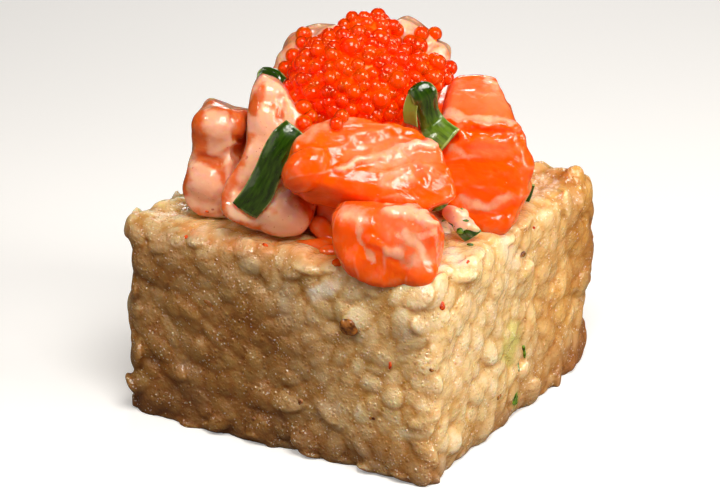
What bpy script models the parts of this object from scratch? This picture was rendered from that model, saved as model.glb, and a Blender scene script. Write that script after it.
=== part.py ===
# Crispy rice bite: a fried square of pressed sushi rice under diced salmon, scallion and fish roe.
# Metres, +Z up. The square stands on z = 0 with its footprint centred on the origin.

import math
import random

import bmesh
import bpy
from mathutils import Euler, Matrix, Vector, noise
from mathutils.bvhtree import BVHTree

MM = 0.001
GAP = 0.3 * MM  # clearance between neighbouring solids
MERGE = 0.0005 * MM
NOISE_SEED = 3

# Linear base colours
RICE_COLOUR = (0.62, 0.42, 0.20)
SALMON_COLOUR = (0.93, 0.22, 0.06)
SAUCED_COLOUR = (0.78, 0.36, 0.22)
SCALLION_COLOUR = (0.05, 0.11, 0.01)
ROE_COLOUR = (0.83, 0.06, 0.01)

# Rice square, measured over its grains
BLOCK_SIZE = Vector((46.8, 48.6, 27.8)) * MM
BLOCK_ROUND = 1.5 * MM  # radius of its worn corners
GRAIN_PROUD = 0.5 * MM  # how far a grain stands out of the core
GRAIN_SIZE = Vector((6.0, 3.1, 2.3)) * MM  # length, width, thickness
GRAIN_COUNT = 142
GRAIN_SIDES = 5
GRAIN_SEED = 11
CORE_CUTS = 5  # grid cuts on each side of the core
CORE_UNEVEN = 0.8 * MM

# Fish roe
EGG_RADIUS = 0.98 * MM
EGG_COUNT = 94
EGG_SEED = 5
ROE_HUMPS = (  # centre and half sizes in millimetres: the mound, its side lobe and its crest
    ((0.2, -3.2, 44.4), (9.2, 8.6, 7.4)),
    ((8.2, 0.8, 46.2), (3.4, 3.2, 2.8)),
    ((0.2, 0.2, 50.8), (3.9, 3.5, 2.4)),
)

# Salmon dice. size, centre: millimetres; turn: degrees about X, Y, Z; shape: how far each named
# corner is pulled, in millimetres along the piece's own axes. A corner is named by its signs.
# Pieces are listed from the top of the heap down: each keeps its shape and presses into the later ones.
SALMON = {
    "salmon_front_upper": dict(
        size=(22.4, 13.8, 8.6), centre=(9.2, -15.6, 37.7), turn=(38, 9, 31), cuts=3, seed=1,
        shape={"+-+": (1.6, 0.6, -0.6), "--+": (1.8, 2.0, -1.0),
               "---": (2.4, 3.0, 0.0), "-++": (1.0, -2.0, 0.0),
               "-+-": (0.0, -2.0, 0.0), "+++": (-4.0, -1.0, 0.0),
               "++-": (-3.0, -1.0, 0.0), "+--": (1.5, 0.5, 0.6)},
    ),
    "salmon_front_lower": dict(
        size=(13.2, 8.0, 9.4), centre=(14.9, -20.0, 30.9), turn=(-6, 2, 16), cuts=3, seed=5,
        shape={"+--": (0.0, -0.8, -0.4), "---": (0.6, -0.8, -0.4), "--+": (-0.8, 0.0, -0.8)},
    ),
    "salmon_right": dict(
        size=(14.2, 14.0, 17.0), centre=(17.0, 2.2, 36.0), turn=(-4, 4, 26), cuts=3, seed=2,
        shape={"--+": (0.5, 1.5, -3.4), "+-+": (-1.8, 1.5, -4.0), "+--": (-0.6, -1.0, -1.0),
               "-++": (1.6, -1.5, 2.4), "+++": (-4.6, -1.5, 1.8),
               "---": (1.5, 1.0, 0.0), "++-": (0.6, 0.0, 0.0)},
    ),
    "salmon_left_tall": dict(
        size=(10.5, 8.8, 21.0), centre=(-4.9, -14.6, 37.9), turn=(-20, 4, 22), cuts=3, sauced=True, seed=3,
        shape={"+--": (2.4, -0.6, 0.0), "---": (-1.6, -0.8, 0.0), "--+": (1.6, 1.2, 0.0),
               "+-+": (-2.6, 1.0, -0.6), "-++": (1.6, 0.0, 0.4), "+++": (-2.6, 0.0, 0.0)},
    ),
    "salmon_left": dict(
        size=(10.0, 10.0, 15.4), centre=(-12.7, -13.8, 34.8), turn=(-5, 2, 20), cuts=3, sauced=True, seed=4,
        shape={"--+": (1.2, 0.4, 0.2), "+-+": (0.0, 0.4, -1.0), "---": (-1.2, -0.6, 0.0)},
    ),
    "salmon_back_left": dict(
        size=(13.0, 10.5, 13.6), centre=(-7.9, 2.6, 43.2), turn=(6, -20, 28), sauced=True, seed=6,
        shape={"--+": (1.6, 0.6, -1.0), "-++": (2.0, 0.0, -1.6), "+-+": (0.0, 0.0, -0.6)},
    ),
    "salmon_back_right": dict(
        size=(11.0, 9.6, 14.0), centre=(3.0, 6.6, 44.4), turn=(-4, 24, 24), sauced=True, seed=7,
        shape={"+++": (-1.2, -1.0, -2.0), "+-+": (-1.0, 0.0, -1.6), "-++": (0.6, -0.6, -1.0)},
    ),
    "salmon_rear_left": dict(
        size=(13.0, 13.0, 12.5), centre=(-11.4, 8.4, 33.8), turn=(-6, 4, -16), sauced=True, seed=9,
        shape={"-++": (1.0, -1.0, -1.6)},
    ),
    "salmon_rear_right": dict(
        size=(14.5, 10.5, 12.0), centre=(6.6, 16.0, 33.4), turn=(6, -6, 16), seed=10,
        shape={"+++": (-1.4, -1.0, -1.4)},
    ),
    "salmon_middle": dict(
        size=(12.6, 10.6, 8.6), centre=(3.2, -11.8, 31.8), turn=(0, 5, 12), seed=8, shape={},
    ),
    "salmon_centre": dict(
        size=(12.6, 13.0, 12.0), centre=(0.7, 0.9, 35.2), turn=(0, 0, 8), seed=11, shape={},
    ),
}
SALMON_UNEVEN = 0.25 * MM
SALMON_SQUARENESS = 5  # exponent of the worn cube: 2 is a ball, and a high one a sharp box
SALMON_EDGE_PULL = 0.4  # below 1, moves the grid lines towards the edges
SALMON_CROWN = 1.05

# Scallion: strips cut from the green stem. length, width: millimetres; arc: degrees that the strip
# bends along its length; curl: degrees that it curls across its width.
SCALLION_WALL = 0.75 * MM
SCALLION = {
    "scallion_left": dict(
        length=14.5, width=3.2, arc=24, curl=60, centre=(-3.4, -21.4, 36.6), turn=(70, -62, 18),
    ),
    "scallion_right": dict(
        length=10.0, width=3.8, arc=-80, curl=34, centre=(12.2, -6.2, 42.0), turn=(24, 50, 30),
    ),
    "scallion_back": dict(
        length=6.5, width=2.8, arc=70, curl=30, centre=(-9.6, -5.2, 44.8), turn=(20, 20, 10),
    ),
    "scallion_corner": dict(
        length=5.6, width=3.0, arc=24, curl=60, centre=(18.4, -9.4, 29.6), turn=(60, 10, 30),
    ),
    "scallion_far_right": dict(
        length=4.4, width=2.4, arc=30, curl=40, centre=(19.6, 9.6, 28.9), turn=(30, -70, 30),
    ),
}


def clear_scene():
    for obj in list(bpy.data.objects):
        bpy.data.objects.remove(obj)
    for collection in list(bpy.data.collections):
        bpy.data.collections.remove(collection)


def new_collection(name):
    collection = bpy.data.collections.new(name)
    bpy.context.scene.collection.children.link(collection)
    return collection


def material(name, colour, roughness):
    made = bpy.data.materials.new(name)
    made.use_nodes = True
    shader = made.node_tree.nodes["Principled BSDF"]
    shader.inputs["Base Color"].default_value = (*colour, 1.0)
    shader.inputs["Roughness"].default_value = roughness
    shader.inputs["Metallic"].default_value = 0.0
    return made


def link_mesh(name, bm, collection, finish=None, spec=None):
    """Turns bm into a mesh object, placed by the spec's centre and turn."""
    mesh = bpy.data.meshes.new(name)
    bm.to_mesh(mesh)
    bm.free()
    obj = bpy.data.objects.new(name, mesh)
    if finish:
        mesh.materials.append(finish)
    if spec:
        obj.location = Vector(spec["centre"]) * MM
        obj.rotation_euler = [math.radians(angle) for angle in spec["turn"]]
    collection.objects.link(obj)
    bpy.context.view_layer.update()
    return obj


def placed_bmesh(obj):
    """The object's mesh where it stands in the model."""
    bm = bmesh.new()
    bm.from_mesh(obj.data)
    bm.transform(obj.matrix_world)
    bm.normal_update()
    return bm


def apply_modifiers(obj):
    """Keeps the evaluated mesh and removes the modifiers."""
    graph = bpy.context.evaluated_depsgraph_get()
    made = bpy.data.meshes.new_from_object(obj.evaluated_get(graph))
    old = obj.data
    obj.modifiers.clear()
    obj.data = made
    bpy.data.meshes.remove(old)


def keep_largest_body(obj):
    """Drops the loose scraps that a cut can leave."""
    bm = bmesh.new()
    bm.from_mesh(obj.data)
    bmesh.ops.remove_doubles(bm, verts=bm.verts, dist=MERGE)
    unseen = set(bm.verts)
    bodies = []
    while unseen:
        reached = {unseen.pop()}
        edge_of = list(reached)
        while edge_of:
            found = [e.other_vert(v) for v in edge_of for e in v.link_edges]
            edge_of = [v for v in set(found) if v in unseen]
            unseen.difference_update(edge_of)
            reached.update(edge_of)
        bodies.append(reached)
    bodies.sort(key=len, reverse=True)
    scraps = [v for body in bodies[1:] for v in body]
    bmesh.ops.delete(bm, geom=scraps, context="VERTS")
    bm.to_mesh(obj.data)
    bm.free()


def swollen_copy(obj, by, collection):
    """A cutter: the same shape with its skin moved out along its normals."""
    bm = placed_bmesh(obj)
    moves = [(v, v.normal * by) for v in bm.verts]
    for vert, move in moves:
        vert.co += move
    cutter = link_mesh("cut_" + obj.name, bm, collection)
    cutter.hide_render = True
    cutter.display_type = "WIRE"
    return cutter


def boolean(obj, operation, other):
    change = obj.modifiers.new(operation.lower(), "BOOLEAN")
    change.operation = operation
    change.object = other
    apply_modifiers(obj)
    keep_largest_body(obj)


def union_group(obj, group):
    """Fuses all of the group's pieces onto obj, then removes them."""
    change = obj.modifiers.new("fused", "BOOLEAN")
    change.operation = "UNION"
    change.solver = "MANIFOLD"
    change.operand_type = "COLLECTION"
    change.collection = group
    apply_modifiers(obj)
    for piece in list(group.objects):
        bpy.data.objects.remove(piece)
    bpy.data.collections.remove(group)
    keep_largest_body(obj)


def skin_tree(obj):
    bm = placed_bmesh(obj)
    tree = BVHTree.FromBMesh(bm)
    bm.free()
    return tree


def fit_against(obj, cutters):
    """Cuts obj back to its neighbours' swollen copies, which leaves the clearance."""
    for cutter in cutters:
        if skin_tree(obj).overlap(skin_tree(cutter)):
            boolean(obj, "DIFFERENCE", cutter)


def salmon_die(name, spec, collection, finish):
    """A hand-cut die of fish: a gridded cube with its edges worn round and its corners pulled."""
    half = Vector(spec["size"]) * 0.5 * MM
    pulls = {signs: Vector(pull) * MM for signs, pull in spec["shape"].items()}
    rng = random.Random(spec["seed"])
    cuts = spec.get("cuts", 2)
    bm = bmesh.new()
    bmesh.ops.create_cube(bm, size=2.0)
    bmesh.ops.subdivide_edges(bm, edges=bm.edges, cuts=cuts, use_grid_fill=True)
    for vert in bm.verts:
        unit = Vector([math.copysign(abs(c) ** SALMON_EDGE_PULL, c) for c in vert.co])
        norm = sum(abs(c) ** SALMON_SQUARENESS for c in unit) ** (1 / SALMON_SQUARENESS)
        pull = Vector()
        for signs, move in pulls.items():
            share = 1.0
            for axis, sign in enumerate(signs):
                toward = unit[axis] if sign == "+" else -unit[axis]
                share *= (1 + toward) / 2
            pull += move * share
        uneven = Vector([rng.uniform(-1, 1) for _ in range(3)]) * SALMON_UNEVEN
        vert.co = Vector([unit[i] / norm * half[i] for i in range(3)]) * SALMON_CROWN + pull + uneven
    return link_mesh(name, bm, collection, finish, spec)


def scallion_strip(name, spec, collection, finish):
    """A strip of stem wall: a grid bent along its length, curled across it, and thickened."""
    length, width = spec["length"] * MM, spec["width"] * MM
    arc, curl = math.radians(spec["arc"]), math.radians(spec["curl"])
    bm = bmesh.new()
    bmesh.ops.create_grid(bm, x_segments=6, y_segments=2, size=0.5)
    for vert in bm.verts:
        along, across = vert.co.x, vert.co.y
        bend_radius, curl_radius = length / arc, width / curl
        drop = curl_radius * (1 - math.cos(across * curl))
        side = curl_radius * math.sin(across * curl)
        reach = bend_radius - drop
        vert.co = (
            reach * math.sin(along * arc),
            side,
            reach * math.cos(along * arc) - bend_radius,
        )
    obj = link_mesh(name, bm, collection, finish, spec)
    wall = obj.modifiers.new("wall", "SOLIDIFY")
    wall.thickness = SCALLION_WALL
    wall.offset = 0.0
    wall.use_even_offset = True
    apply_modifiers(obj)
    return obj


def rice_core(collection, finish):
    """The pressed square without its outer grains: uneven sides, worn corners, sunk a little below z = 0."""
    below = 0.6 * MM
    size = BLOCK_SIZE - Vector((2, 2, 1)) * GRAIN_PROUD + Vector((0, 0, below))
    bm = bmesh.new()
    bmesh.ops.create_cube(bm, size=1.0)
    bmesh.ops.subdivide_edges(bm, edges=bm.edges, cuts=CORE_CUTS, use_grid_fill=True)
    for vert in bm.verts:
        vert.co = Vector([vert.co[i] * size[i] for i in range(3)])
        vert.co.z += size.z / 2 - below
        vert.co += noise.noise_vector(vert.co * 90) * CORE_UNEVEN
    obj = link_mesh("rice_block", bm, collection, finish)
    worn = obj.modifiers.new("worn", "BEVEL")
    worn.width = BLOCK_ROUND * 0.7
    worn.segments = 2
    worn.limit_method = "ANGLE"
    worn.angle_limit = math.radians(50)
    apply_modifiers(obj)
    return obj


def block_skin_point(rng):
    """A point of the rounded square's skin, and the direction out of it."""
    half = BLOCK_SIZE / 2 - Vector((1, 1, 1)) * GRAIN_PROUD
    areas = (half.y * half.z, half.x * half.z, half.x * half.y * 0.5)
    axis = rng.choices((0, 1, 2), areas)[0]
    point = Vector([rng.uniform(-1, 1) * half[i] for i in range(3)])
    point[axis] = half[axis] if axis == 2 else math.copysign(half[axis], rng.uniform(-1, 1))
    inner = Vector([max(-half[i] + BLOCK_ROUND, min(half[i] - BLOCK_ROUND, point[i])) for i in range(3)])
    out = (point - inner).normalized()
    return inner + out * BLOCK_ROUND + Vector((0, 0, BLOCK_SIZE.z / 2)), out


def grain_mesh(name, collection, place):
    """A blunt grain: two rings and two tips, along Z before place turns and stretches it."""
    bm = bmesh.new()
    bmesh.ops.create_uvsphere(bm, u_segments=GRAIN_SIDES, v_segments=3, radius=1.0)
    for vert in bm.verts:
        if abs(vert.co.z) < 0.9:
            vert.co.xy = vert.co.xy.normalized()
            vert.co.z *= 1.1
    bm.transform(place)
    return link_mesh(name, bm, collection)


def grain_place(rng, spot, out):
    """The matrix that lays a unit sphere at spot as a grain along the skin, tilted a little."""
    stretch = [rng.uniform(0.86, 1.12) * s / 2 for s in GRAIN_SIZE]
    spin = Matrix.Rotation(rng.uniform(0, math.pi), 3, "Z")
    tilt = Matrix.Rotation(rng.uniform(-0.35, 0.35), 3, "Y")
    turn = out.to_track_quat("Z", "Y").to_matrix() @ spin @ tilt
    lie = Matrix(((0, 0, 1), (1, 0, 0), (0, 1, 0)))  # the sphere's poles become the grain's ends
    size = Matrix.Diagonal((*stretch, 1.0))
    centre = spot - out * stretch[2] * 0.3
    return Matrix.Translation(centre) @ turn.to_4x4() @ size @ lie.to_4x4()


def spread_points(count, rng, draw, accept):
    """Evenly spread draws: each new point is the one of several tries that lies furthest from the others."""
    tries = 40
    kept = []
    while len(kept) < count:
        drawn = [draw(rng) for _ in range(tries)]
        drawn = [d for d in drawn if accept(d)]
        if not drawn:
            continue
        far = max(drawn, key=lambda d: min([(d[0] - k[0]).length for k in kept], default=1.0))
        kept.append(far)
    return kept


def distance_inside(trees, point):
    """The least distance from point to the solids, negative inside one."""
    least = 1.0
    for tree in trees:
        spot, normal, _, length = tree.find_nearest(point)
        least = min(least, -length if (point - spot).dot(normal) < 0 else length)
    return least


def add_grains(core, toppings):
    """Fuses the grains that show onto the core, leaving out those that a topping covers."""
    rng = random.Random(GRAIN_SEED)
    trees = [skin_tree(piece) for piece in toppings]
    reach = GRAIN_SIZE.x / 2
    top = BLOCK_SIZE.z - GRAIN_SIZE.z

    def bare(drawn):
        spot = drawn[0]
        return spot.z < top - reach or distance_inside(trees, spot) > reach

    group = new_collection("grains")
    for i, (spot, out) in enumerate(spread_points(GRAIN_COUNT, rng, block_skin_point, bare)):
        grain_mesh(f"grain_{i}", group, grain_place(rng, spot, out))
    union_group(core, group)


def flatten_base(core, helpers):
    """Cuts everything below z = 0, which leaves the flat underside."""
    bm = bmesh.new()
    bmesh.ops.create_cube(bm, size=0.1)
    bm.transform(Matrix.Translation((0, 0, -0.05)))
    floor = link_mesh("floor_cutter", bm, helpers)
    floor.hide_render = True
    boolean(core, "DIFFERENCE", floor)


def roe_skin_point(rng):
    """A point on one of the roe's humps that no other hump covers, and the direction out of it."""
    while True:
        centre, half = rng.choices(ROE_HUMPS, [h[1][0] * h[1][1] for h in ROE_HUMPS])[0]
        out = Vector([rng.gauss(0, 1) for _ in range(3)]).normalized()
        spot = Vector([centre[i] + out[i] * half[i] for i in range(3)])
        covered = any(
            sum(((spot[i] - c[i]) / h[i]) ** 2 for i in range(3)) < 0.98
            for c, h in ROE_HUMPS
            if c != centre
        )
        if not covered:
            return spot * MM, out


def build_roe(collection, finish, neighbours, cutters):
    """The mound: smooth humps joined and fitted to what they lie on, with the eggs that show fused on."""
    humps = []
    for i, (centre, half) in enumerate(ROE_HUMPS):
        inner = [(h * MM - EGG_RADIUS * 0.55) for h in half]
        turn = Matrix.Rotation(0.4 * i, 4, "Z")
        place = Matrix.Translation(Vector(centre) * MM) @ Matrix.Diagonal((*inner, 1.0)) @ turn
        bm = bmesh.new()
        bmesh.ops.create_uvsphere(bm, u_segments=12, v_segments=8, radius=1.0)
        bm.transform(place)
        humps.append(link_mesh("roe" if i == 0 else f"hump_{i}", bm, collection, finish))
    mound = humps[0]
    for hump in humps[1:]:
        boolean(mound, "UNION", hump)
        bpy.data.objects.remove(hump)
    fit_against(mound, cutters)
    trees = [skin_tree(piece) for piece in neighbours]
    rng = random.Random(EGG_SEED)
    clearance = EGG_RADIUS + GAP
    group = new_collection("eggs")
    eggs = spread_points(
        EGG_COUNT, rng, roe_skin_point, lambda drawn: distance_inside(trees, drawn[0]) > clearance
    )
    for i, (spot, out) in enumerate(eggs):
        radius = EGG_RADIUS * rng.uniform(0.85, 1.08)
        turn = Euler([rng.uniform(0, 3) for _ in range(3)]).to_matrix().to_4x4()
        bm = bmesh.new()
        bmesh.ops.create_icosphere(bm, subdivisions=1, radius=radius)
        bm.transform(Matrix.Translation(spot - out * radius * 0.35) @ turn)
        link_mesh(f"egg_{i}", bm, group)
    union_group(mound, group)


def main():
    clear_scene()
    noise.seed_set(NOISE_SEED)
    food = new_collection("crispy_rice_bite")
    helpers = new_collection("cutters")
    fish = material("salmon", SALMON_COLOUR, 0.25)
    sauced = material("sauced_salmon", SAUCED_COLOUR, 0.3)
    green = material("scallion", SCALLION_COLOUR, 0.3)
    rice = material("fried_rice", RICE_COLOUR, 0.45)
    eggs = material("roe", ROE_COLOUR, 0.12)

    core = rice_core(food, rice)
    strips = [scallion_strip(name, spec, food, green) for name, spec in SCALLION.items()]
    dice = [
        salmon_die(name, spec, food, sauced if spec.get("sauced") else fish) for name, spec in SALMON.items()
    ]

    toppings = strips + dice
    cutters = [swollen_copy(obj, GAP, helpers) for obj in toppings]
    core_cutter = swollen_copy(core, GAP, helpers)
    for i, piece in enumerate(toppings):
        fit_against(piece, cutters[:i] + [core_cutter])
    build_roe(food, eggs, toppings, cutters)
    add_grains(core, toppings)
    flatten_base(core, helpers)


main()
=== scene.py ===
import math

import bmesh
import bpy
import numpy as np
from mathutils import Euler, Matrix, Vector, noise
from mathutils.bvhtree import BVHTree


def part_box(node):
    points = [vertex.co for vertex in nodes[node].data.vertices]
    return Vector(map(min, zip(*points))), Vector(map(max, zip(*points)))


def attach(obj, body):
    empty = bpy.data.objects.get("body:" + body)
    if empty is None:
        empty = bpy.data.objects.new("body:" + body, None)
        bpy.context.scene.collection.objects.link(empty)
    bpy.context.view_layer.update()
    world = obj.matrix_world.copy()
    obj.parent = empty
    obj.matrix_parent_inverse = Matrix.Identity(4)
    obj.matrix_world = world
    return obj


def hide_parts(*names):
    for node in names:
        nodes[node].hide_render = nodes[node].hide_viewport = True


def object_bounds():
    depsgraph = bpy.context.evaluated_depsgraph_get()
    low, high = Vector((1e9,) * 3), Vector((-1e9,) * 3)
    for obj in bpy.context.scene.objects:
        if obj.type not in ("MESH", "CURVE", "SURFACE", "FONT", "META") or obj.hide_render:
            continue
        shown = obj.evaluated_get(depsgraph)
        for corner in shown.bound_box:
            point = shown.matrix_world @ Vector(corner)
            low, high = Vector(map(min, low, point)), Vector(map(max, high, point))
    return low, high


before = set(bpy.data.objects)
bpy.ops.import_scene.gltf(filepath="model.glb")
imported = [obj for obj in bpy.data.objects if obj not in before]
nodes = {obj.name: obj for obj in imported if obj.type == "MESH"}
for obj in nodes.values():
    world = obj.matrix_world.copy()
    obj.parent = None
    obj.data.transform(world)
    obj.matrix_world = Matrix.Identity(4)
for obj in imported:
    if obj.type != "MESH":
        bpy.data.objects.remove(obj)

mm = 0.001
cadLow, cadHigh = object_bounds()
noise.seed_set(7)

# The camera that fits the photograph, worked out from the corners of the rice square
photo = {
    "width": 720,
    "height": 500,
    "azimuth": 30.2,
    "elevation": 21.3,
    "distance": 300.0,
    "focal": 2181.0,  # pixels
    "slide": -0.76,
    "rise": 19.83,
    "sensor": 36.0,
    "clip": 10.0,
}
brush = {  # how strokes and outlines, given in the photograph's pixels, are laid on the pieces
    "stir": 4.0,  # pixels by which noise makes a stroke's edge ragged
    "stirSize": 1.8,
    "stirDetail": 3,
    "apart": 0.05,  # metres between the noise for each axis
    "solid": 0.15,  # share of a stroke's width that it covers fully
    "glancing": 0.25,  # a stroke fades where the surface turns this far from the camera
    "trim": 0.95,  # share of the way that what sticks out goes back to its outline
}
endless = 1e9
tiny = 1e-6


def cameraAxes():
    turn, lift = math.radians(photo["azimuth"]), math.radians(photo["elevation"])
    back = Vector((math.sin(turn) * math.cos(lift), -math.cos(turn) * math.cos(lift), math.sin(lift)))
    right = Vector((math.cos(turn), math.sin(turn), 0.0))
    place = (right * photo["slide"] + back * photo["distance"]) * mm + Vector((0, 0, photo["rise"] * mm))
    return place, right, back.cross(right), back


cameraPlace, cameraRight, cameraUp, cameraBack = cameraAxes()


def depthOf(points):
    return (np.array(cameraPlace) - points) @ np.array(cameraBack)


def photoPixels(points):
    # Where points of the model fall in the photograph
    away = np.asarray(points) - np.array(cameraPlace)
    depth = depthOf(points)
    across = away @ np.array(cameraRight) / depth * photo["focal"]
    down = away @ np.array(cameraUp) / depth * photo["focal"]
    return np.stack((photo["width"] / 2 + across, photo["height"] / 2 - down), axis=1)


def rayThrough(pixel):
    # From the camera through a pixel of the photograph, one unit of depth long
    side = (pixel[0] - photo["width"] / 2) / photo["focal"]
    lift = (photo["height"] / 2 - pixel[1]) / photo["focal"]
    return cameraRight * side + cameraUp * lift - cameraBack


def photoHit(tree, pixel):
    # The first point of a surface that shows at a pixel of the photograph, and its outward direction
    spot, out, _, _ = tree.ray_cast(cameraPlace, rayThrough(pixel).normalized())
    return spot, out


# Mesh helpers
def meshOf(name, vertices, faces):
    made = bpy.data.meshes.new(name)
    made.from_pydata([tuple(v) for v in vertices], [], [tuple(f) for f in faces])
    made.update()
    return made


def readOut(items, key, width, kind=float):
    flat = np.empty(len(items) * width, dtype=kind)
    items.foreach_get(key, flat)
    return flat.reshape(-1, width)


def pointsOf(mesh):
    return readOut(mesh.vertices, "co", 3)


def normalsOf(mesh):
    return readOut(mesh.vertices, "normal", 3)


def edgesOf(mesh):
    return readOut(mesh.edges, "vertices", 2, np.int32)


def meshFrom(bm, name):
    made = bpy.data.meshes.new(name)
    bm.to_mesh(made)
    bm.free()
    return made


def movePoints(mesh, points):
    mesh.vertices.foreach_set("co", np.ascontiguousarray(points).ravel())
    mesh.update()


def addValues(mesh, name, values):
    layer = mesh.attributes.new(name, "FLOAT", "POINT")
    layer.data.foreach_set("value", np.ascontiguousarray(values, dtype=np.float32))


def smoothed(points, edges, steps):
    # Each point is drawn to the middle of its neighbours, over and over
    first, second = edges.T
    size = len(points)
    count = np.bincount(edges.ravel(), minlength=size)[:, None]
    for _ in range(steps):
        total = np.empty_like(points)
        for axis in range(3):
            total[:, axis] = np.bincount(first, points[second, axis], size)
            total[:, axis] += np.bincount(second, points[first, axis], size)
        points = (points + total / count) / 2
    return points


def blurred(values, edges, steps):
    return smoothed(np.stack((values, values, values), axis=1), edges, steps)[:, 0]


def noiseAt(points, size, octaves=2):
    # Soft noise of about -1 to 1 whose lumps are size millimetres across
    scaled = points / (size * mm)
    return np.array([noise.fractal(p, 1.0, 2.0, octaves) for p in scaled.tolist()])


def proudOf(points, normals, edges, steps):
    # How far each point stands out of its smoothed surroundings, in millimetres
    return ((points - smoothed(points, edges, steps)) * normals).sum(axis=1) / mm


def rise(values, low, high):
    share = np.clip((values - low) / (high - low), 0.0, 1.0)
    return share * share * (3 - 2 * share)


def brushPlaces(points, normals):
    # Where each point lies in the photograph, a little stirred so that strokes get ragged edges
    pixels = photoPixels(points)
    for axis, apart in enumerate((0.0, brush["apart"])):
        pixels[:, axis] += brush["stir"] * noiseAt(points + apart, brush["stirSize"], brush["stirDetail"])
    toCamera = np.array(cameraPlace) - points
    facing = (normals * toCamera).sum(axis=1) / np.linalg.norm(toCamera, axis=1)
    return pixels, rise(facing, 0.0, brush["glancing"])


def nearestOnPath(pixels, path):
    # How far each pixel is from a path, and the spot on the path that is nearest
    nearest = np.full(len(pixels), endless)
    spots = pixels.copy()
    for start, end in zip(path, path[1:]):
        begin, along = np.array(start, dtype=float), np.array(end, dtype=float) - start
        step = np.clip(((pixels - begin) @ along) / max(along @ along, tiny), 0.0, 1.0)
        spot = begin + step[:, None] * along
        away = np.linalg.norm(pixels - spot, axis=1)
        closer = away < nearest
        nearest[closer] = away[closer]
        spots[closer] = spot[closer]
    return nearest, spots


def strokeShare(places, strokes):
    # Soft strokes on the side that faces the camera: width, strength and path, in the photograph's pixels
    pixels, facing = places
    share = np.zeros(len(pixels))
    for width, strength, path in strokes:
        nearest, _ = nearestOnPath(pixels, path)
        share = np.maximum(share, strength * (1 - rise(nearest, brush["solid"] * width, width)))
    return share * facing


def insideOutline(pixels, outline):
    # Even-odd test of every pixel against a closed outline
    inside = np.zeros(len(pixels), dtype=bool)
    x, y = pixels.T
    for (x0, y0), (x1, y1) in zip(outline, (*outline[1:], outline[0])):
        if y0 != y1:
            crosses = ((y0 > y) != (y1 > y)) & (x < (x1 - x0) * (y - y0) / (y1 - y0) + x0)
            inside ^= crosses
    return inside


def trimmed(points, outline):
    # Draws whatever shows outside an outline in the photograph back to it, square to the line of sight
    pixels = photoPixels(points)
    _, target = nearestOnPath(pixels, (*outline, outline[0]))
    shift = (target - pixels) * brush["trim"]
    shift[insideOutline(pixels, outline)] = 0.0
    move = shift[:, :1] * np.array(cameraRight) - shift[:, 1:] * np.array(cameraUp)
    return points + move * (depthOf(points) / photo["focal"])[:, None]


def mergedCopy(name):
    # A CAD node's mesh, with the loose triangles joined up
    bm = bmesh.new()
    bm.from_mesh(nodes[name].data)
    bmesh.ops.remove_doubles(bm, verts=bm.verts, dist=tiny)
    return meshFrom(bm, name + "Copy")


def joinedMesh(name, meshes):
    bm = bmesh.new()
    for mesh in meshes:
        bm.from_mesh(mesh)
    return meshFrom(bm, name)


def evaluated(mesh, setUp):
    # Runs modifiers on a mesh and gives back a plain mesh without them
    holder = bpy.data.objects.new("holder", mesh)
    bpy.context.scene.collection.objects.link(holder)
    setUp(holder)
    graph = bpy.context.evaluated_depsgraph_get()
    made = bpy.data.meshes.new_from_object(holder.evaluated_get(graph))
    bpy.data.objects.remove(holder)
    return made


def fused(mesh, voxel):
    # One closed skin round everything in the mesh
    def setUp(holder):
        change = holder.modifiers.new("fuse", "REMESH")
        change.mode = "VOXEL"
        change.voxel_size = voxel * mm
    return evaluated(mesh, setUp)


def thinned(mesh, faces):
    # Fewer triangles where the skin is flat, the same where it is sharply shaped
    count = sum(len(p.vertices) - 2 for p in mesh.polygons)

    def setUp(holder):
        change = holder.modifiers.new("thin", "DECIMATE")
        change.ratio = min(1.0, faces / count)
    return evaluated(mesh, setUp)


def grown(mesh, tree, values):
    # Runs a Geometry Nodes tree on a mesh, with the named inputs set
    def setUp(holder):
        change = holder.modifiers.new(tree.name, "NODES")
        change.node_group = tree
        for item in tree.interface.items_tree:
            if item.item_type == "SOCKET" and item.in_out == "INPUT" and item.name in values:
                change[item.identifier] = values[item.name]
    return evaluated(mesh, setUp)


def showPiece(name, mesh, finish, replaced=()):
    mesh.materials.clear()
    mesh.materials.append(finish)
    mesh.shade_smooth()
    piece = bpy.data.objects.new(name, mesh)
    bpy.context.scene.collection.objects.link(piece)
    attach(piece, "root")
    if replaced:
        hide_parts(*replaced)
    return piece


def addEgg(bm, centre, half, detail, basis=Matrix()):
    # An ellipsoid from its half sizes in millimetres
    size = Matrix.Diagonal((*[h * mm for h in half], 1.0))
    place = Matrix.Translation(centre) @ basis @ size
    bmesh.ops.create_icosphere(bm, subdivisions=detail, radius=1.0, matrix=place)


def lumpsOn(tree, lumps, detail=3):
    # Ellipsoids sunk in a surface where the photograph shows them: pixel, half sizes along, across and out of
    # the surface in millimetres, angle of the long way in the picture, and how deep the middle lies
    bm = bmesh.new()
    for pixel, half, angle, sink in lumps:
        spot, out = photoHit(tree, pixel)
        if spot is None:
            continue
        turn = math.radians(angle)
        along = cameraRight * math.cos(turn) + cameraUp * math.sin(turn)
        along = (along - out * along.dot(out)).normalized()
        basis = Matrix((along, out.cross(along), out)).transposed().to_4x4()
        addEgg(bm, spot - out * sink * mm, half, detail, basis)
    return meshFrom(bm, "lumps")


def surfaceTree(*meshes):
    vertices, faces = [], []
    for mesh in meshes:
        start = len(vertices)
        vertices += [v.co.copy() for v in mesh.vertices]
        faces += [[start + i for i in p.vertices] for p in mesh.polygons]
    return BVHTree.FromPolygons(vertices, faces)


# Node helpers, for shaders and for Geometry Nodes alike
def addNode(tree, kind, links=None, **settings):
    node = tree.nodes.new(kind)
    for key, value in settings.items():
        setattr(node, key, value)
    for key, value in (links or {}).items():
        socket = node.inputs[key]
        if isinstance(value, bpy.types.NodeSocket):
            tree.links.new(value, socket)
        else:
            socket.default_value = value
    return node


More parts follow.
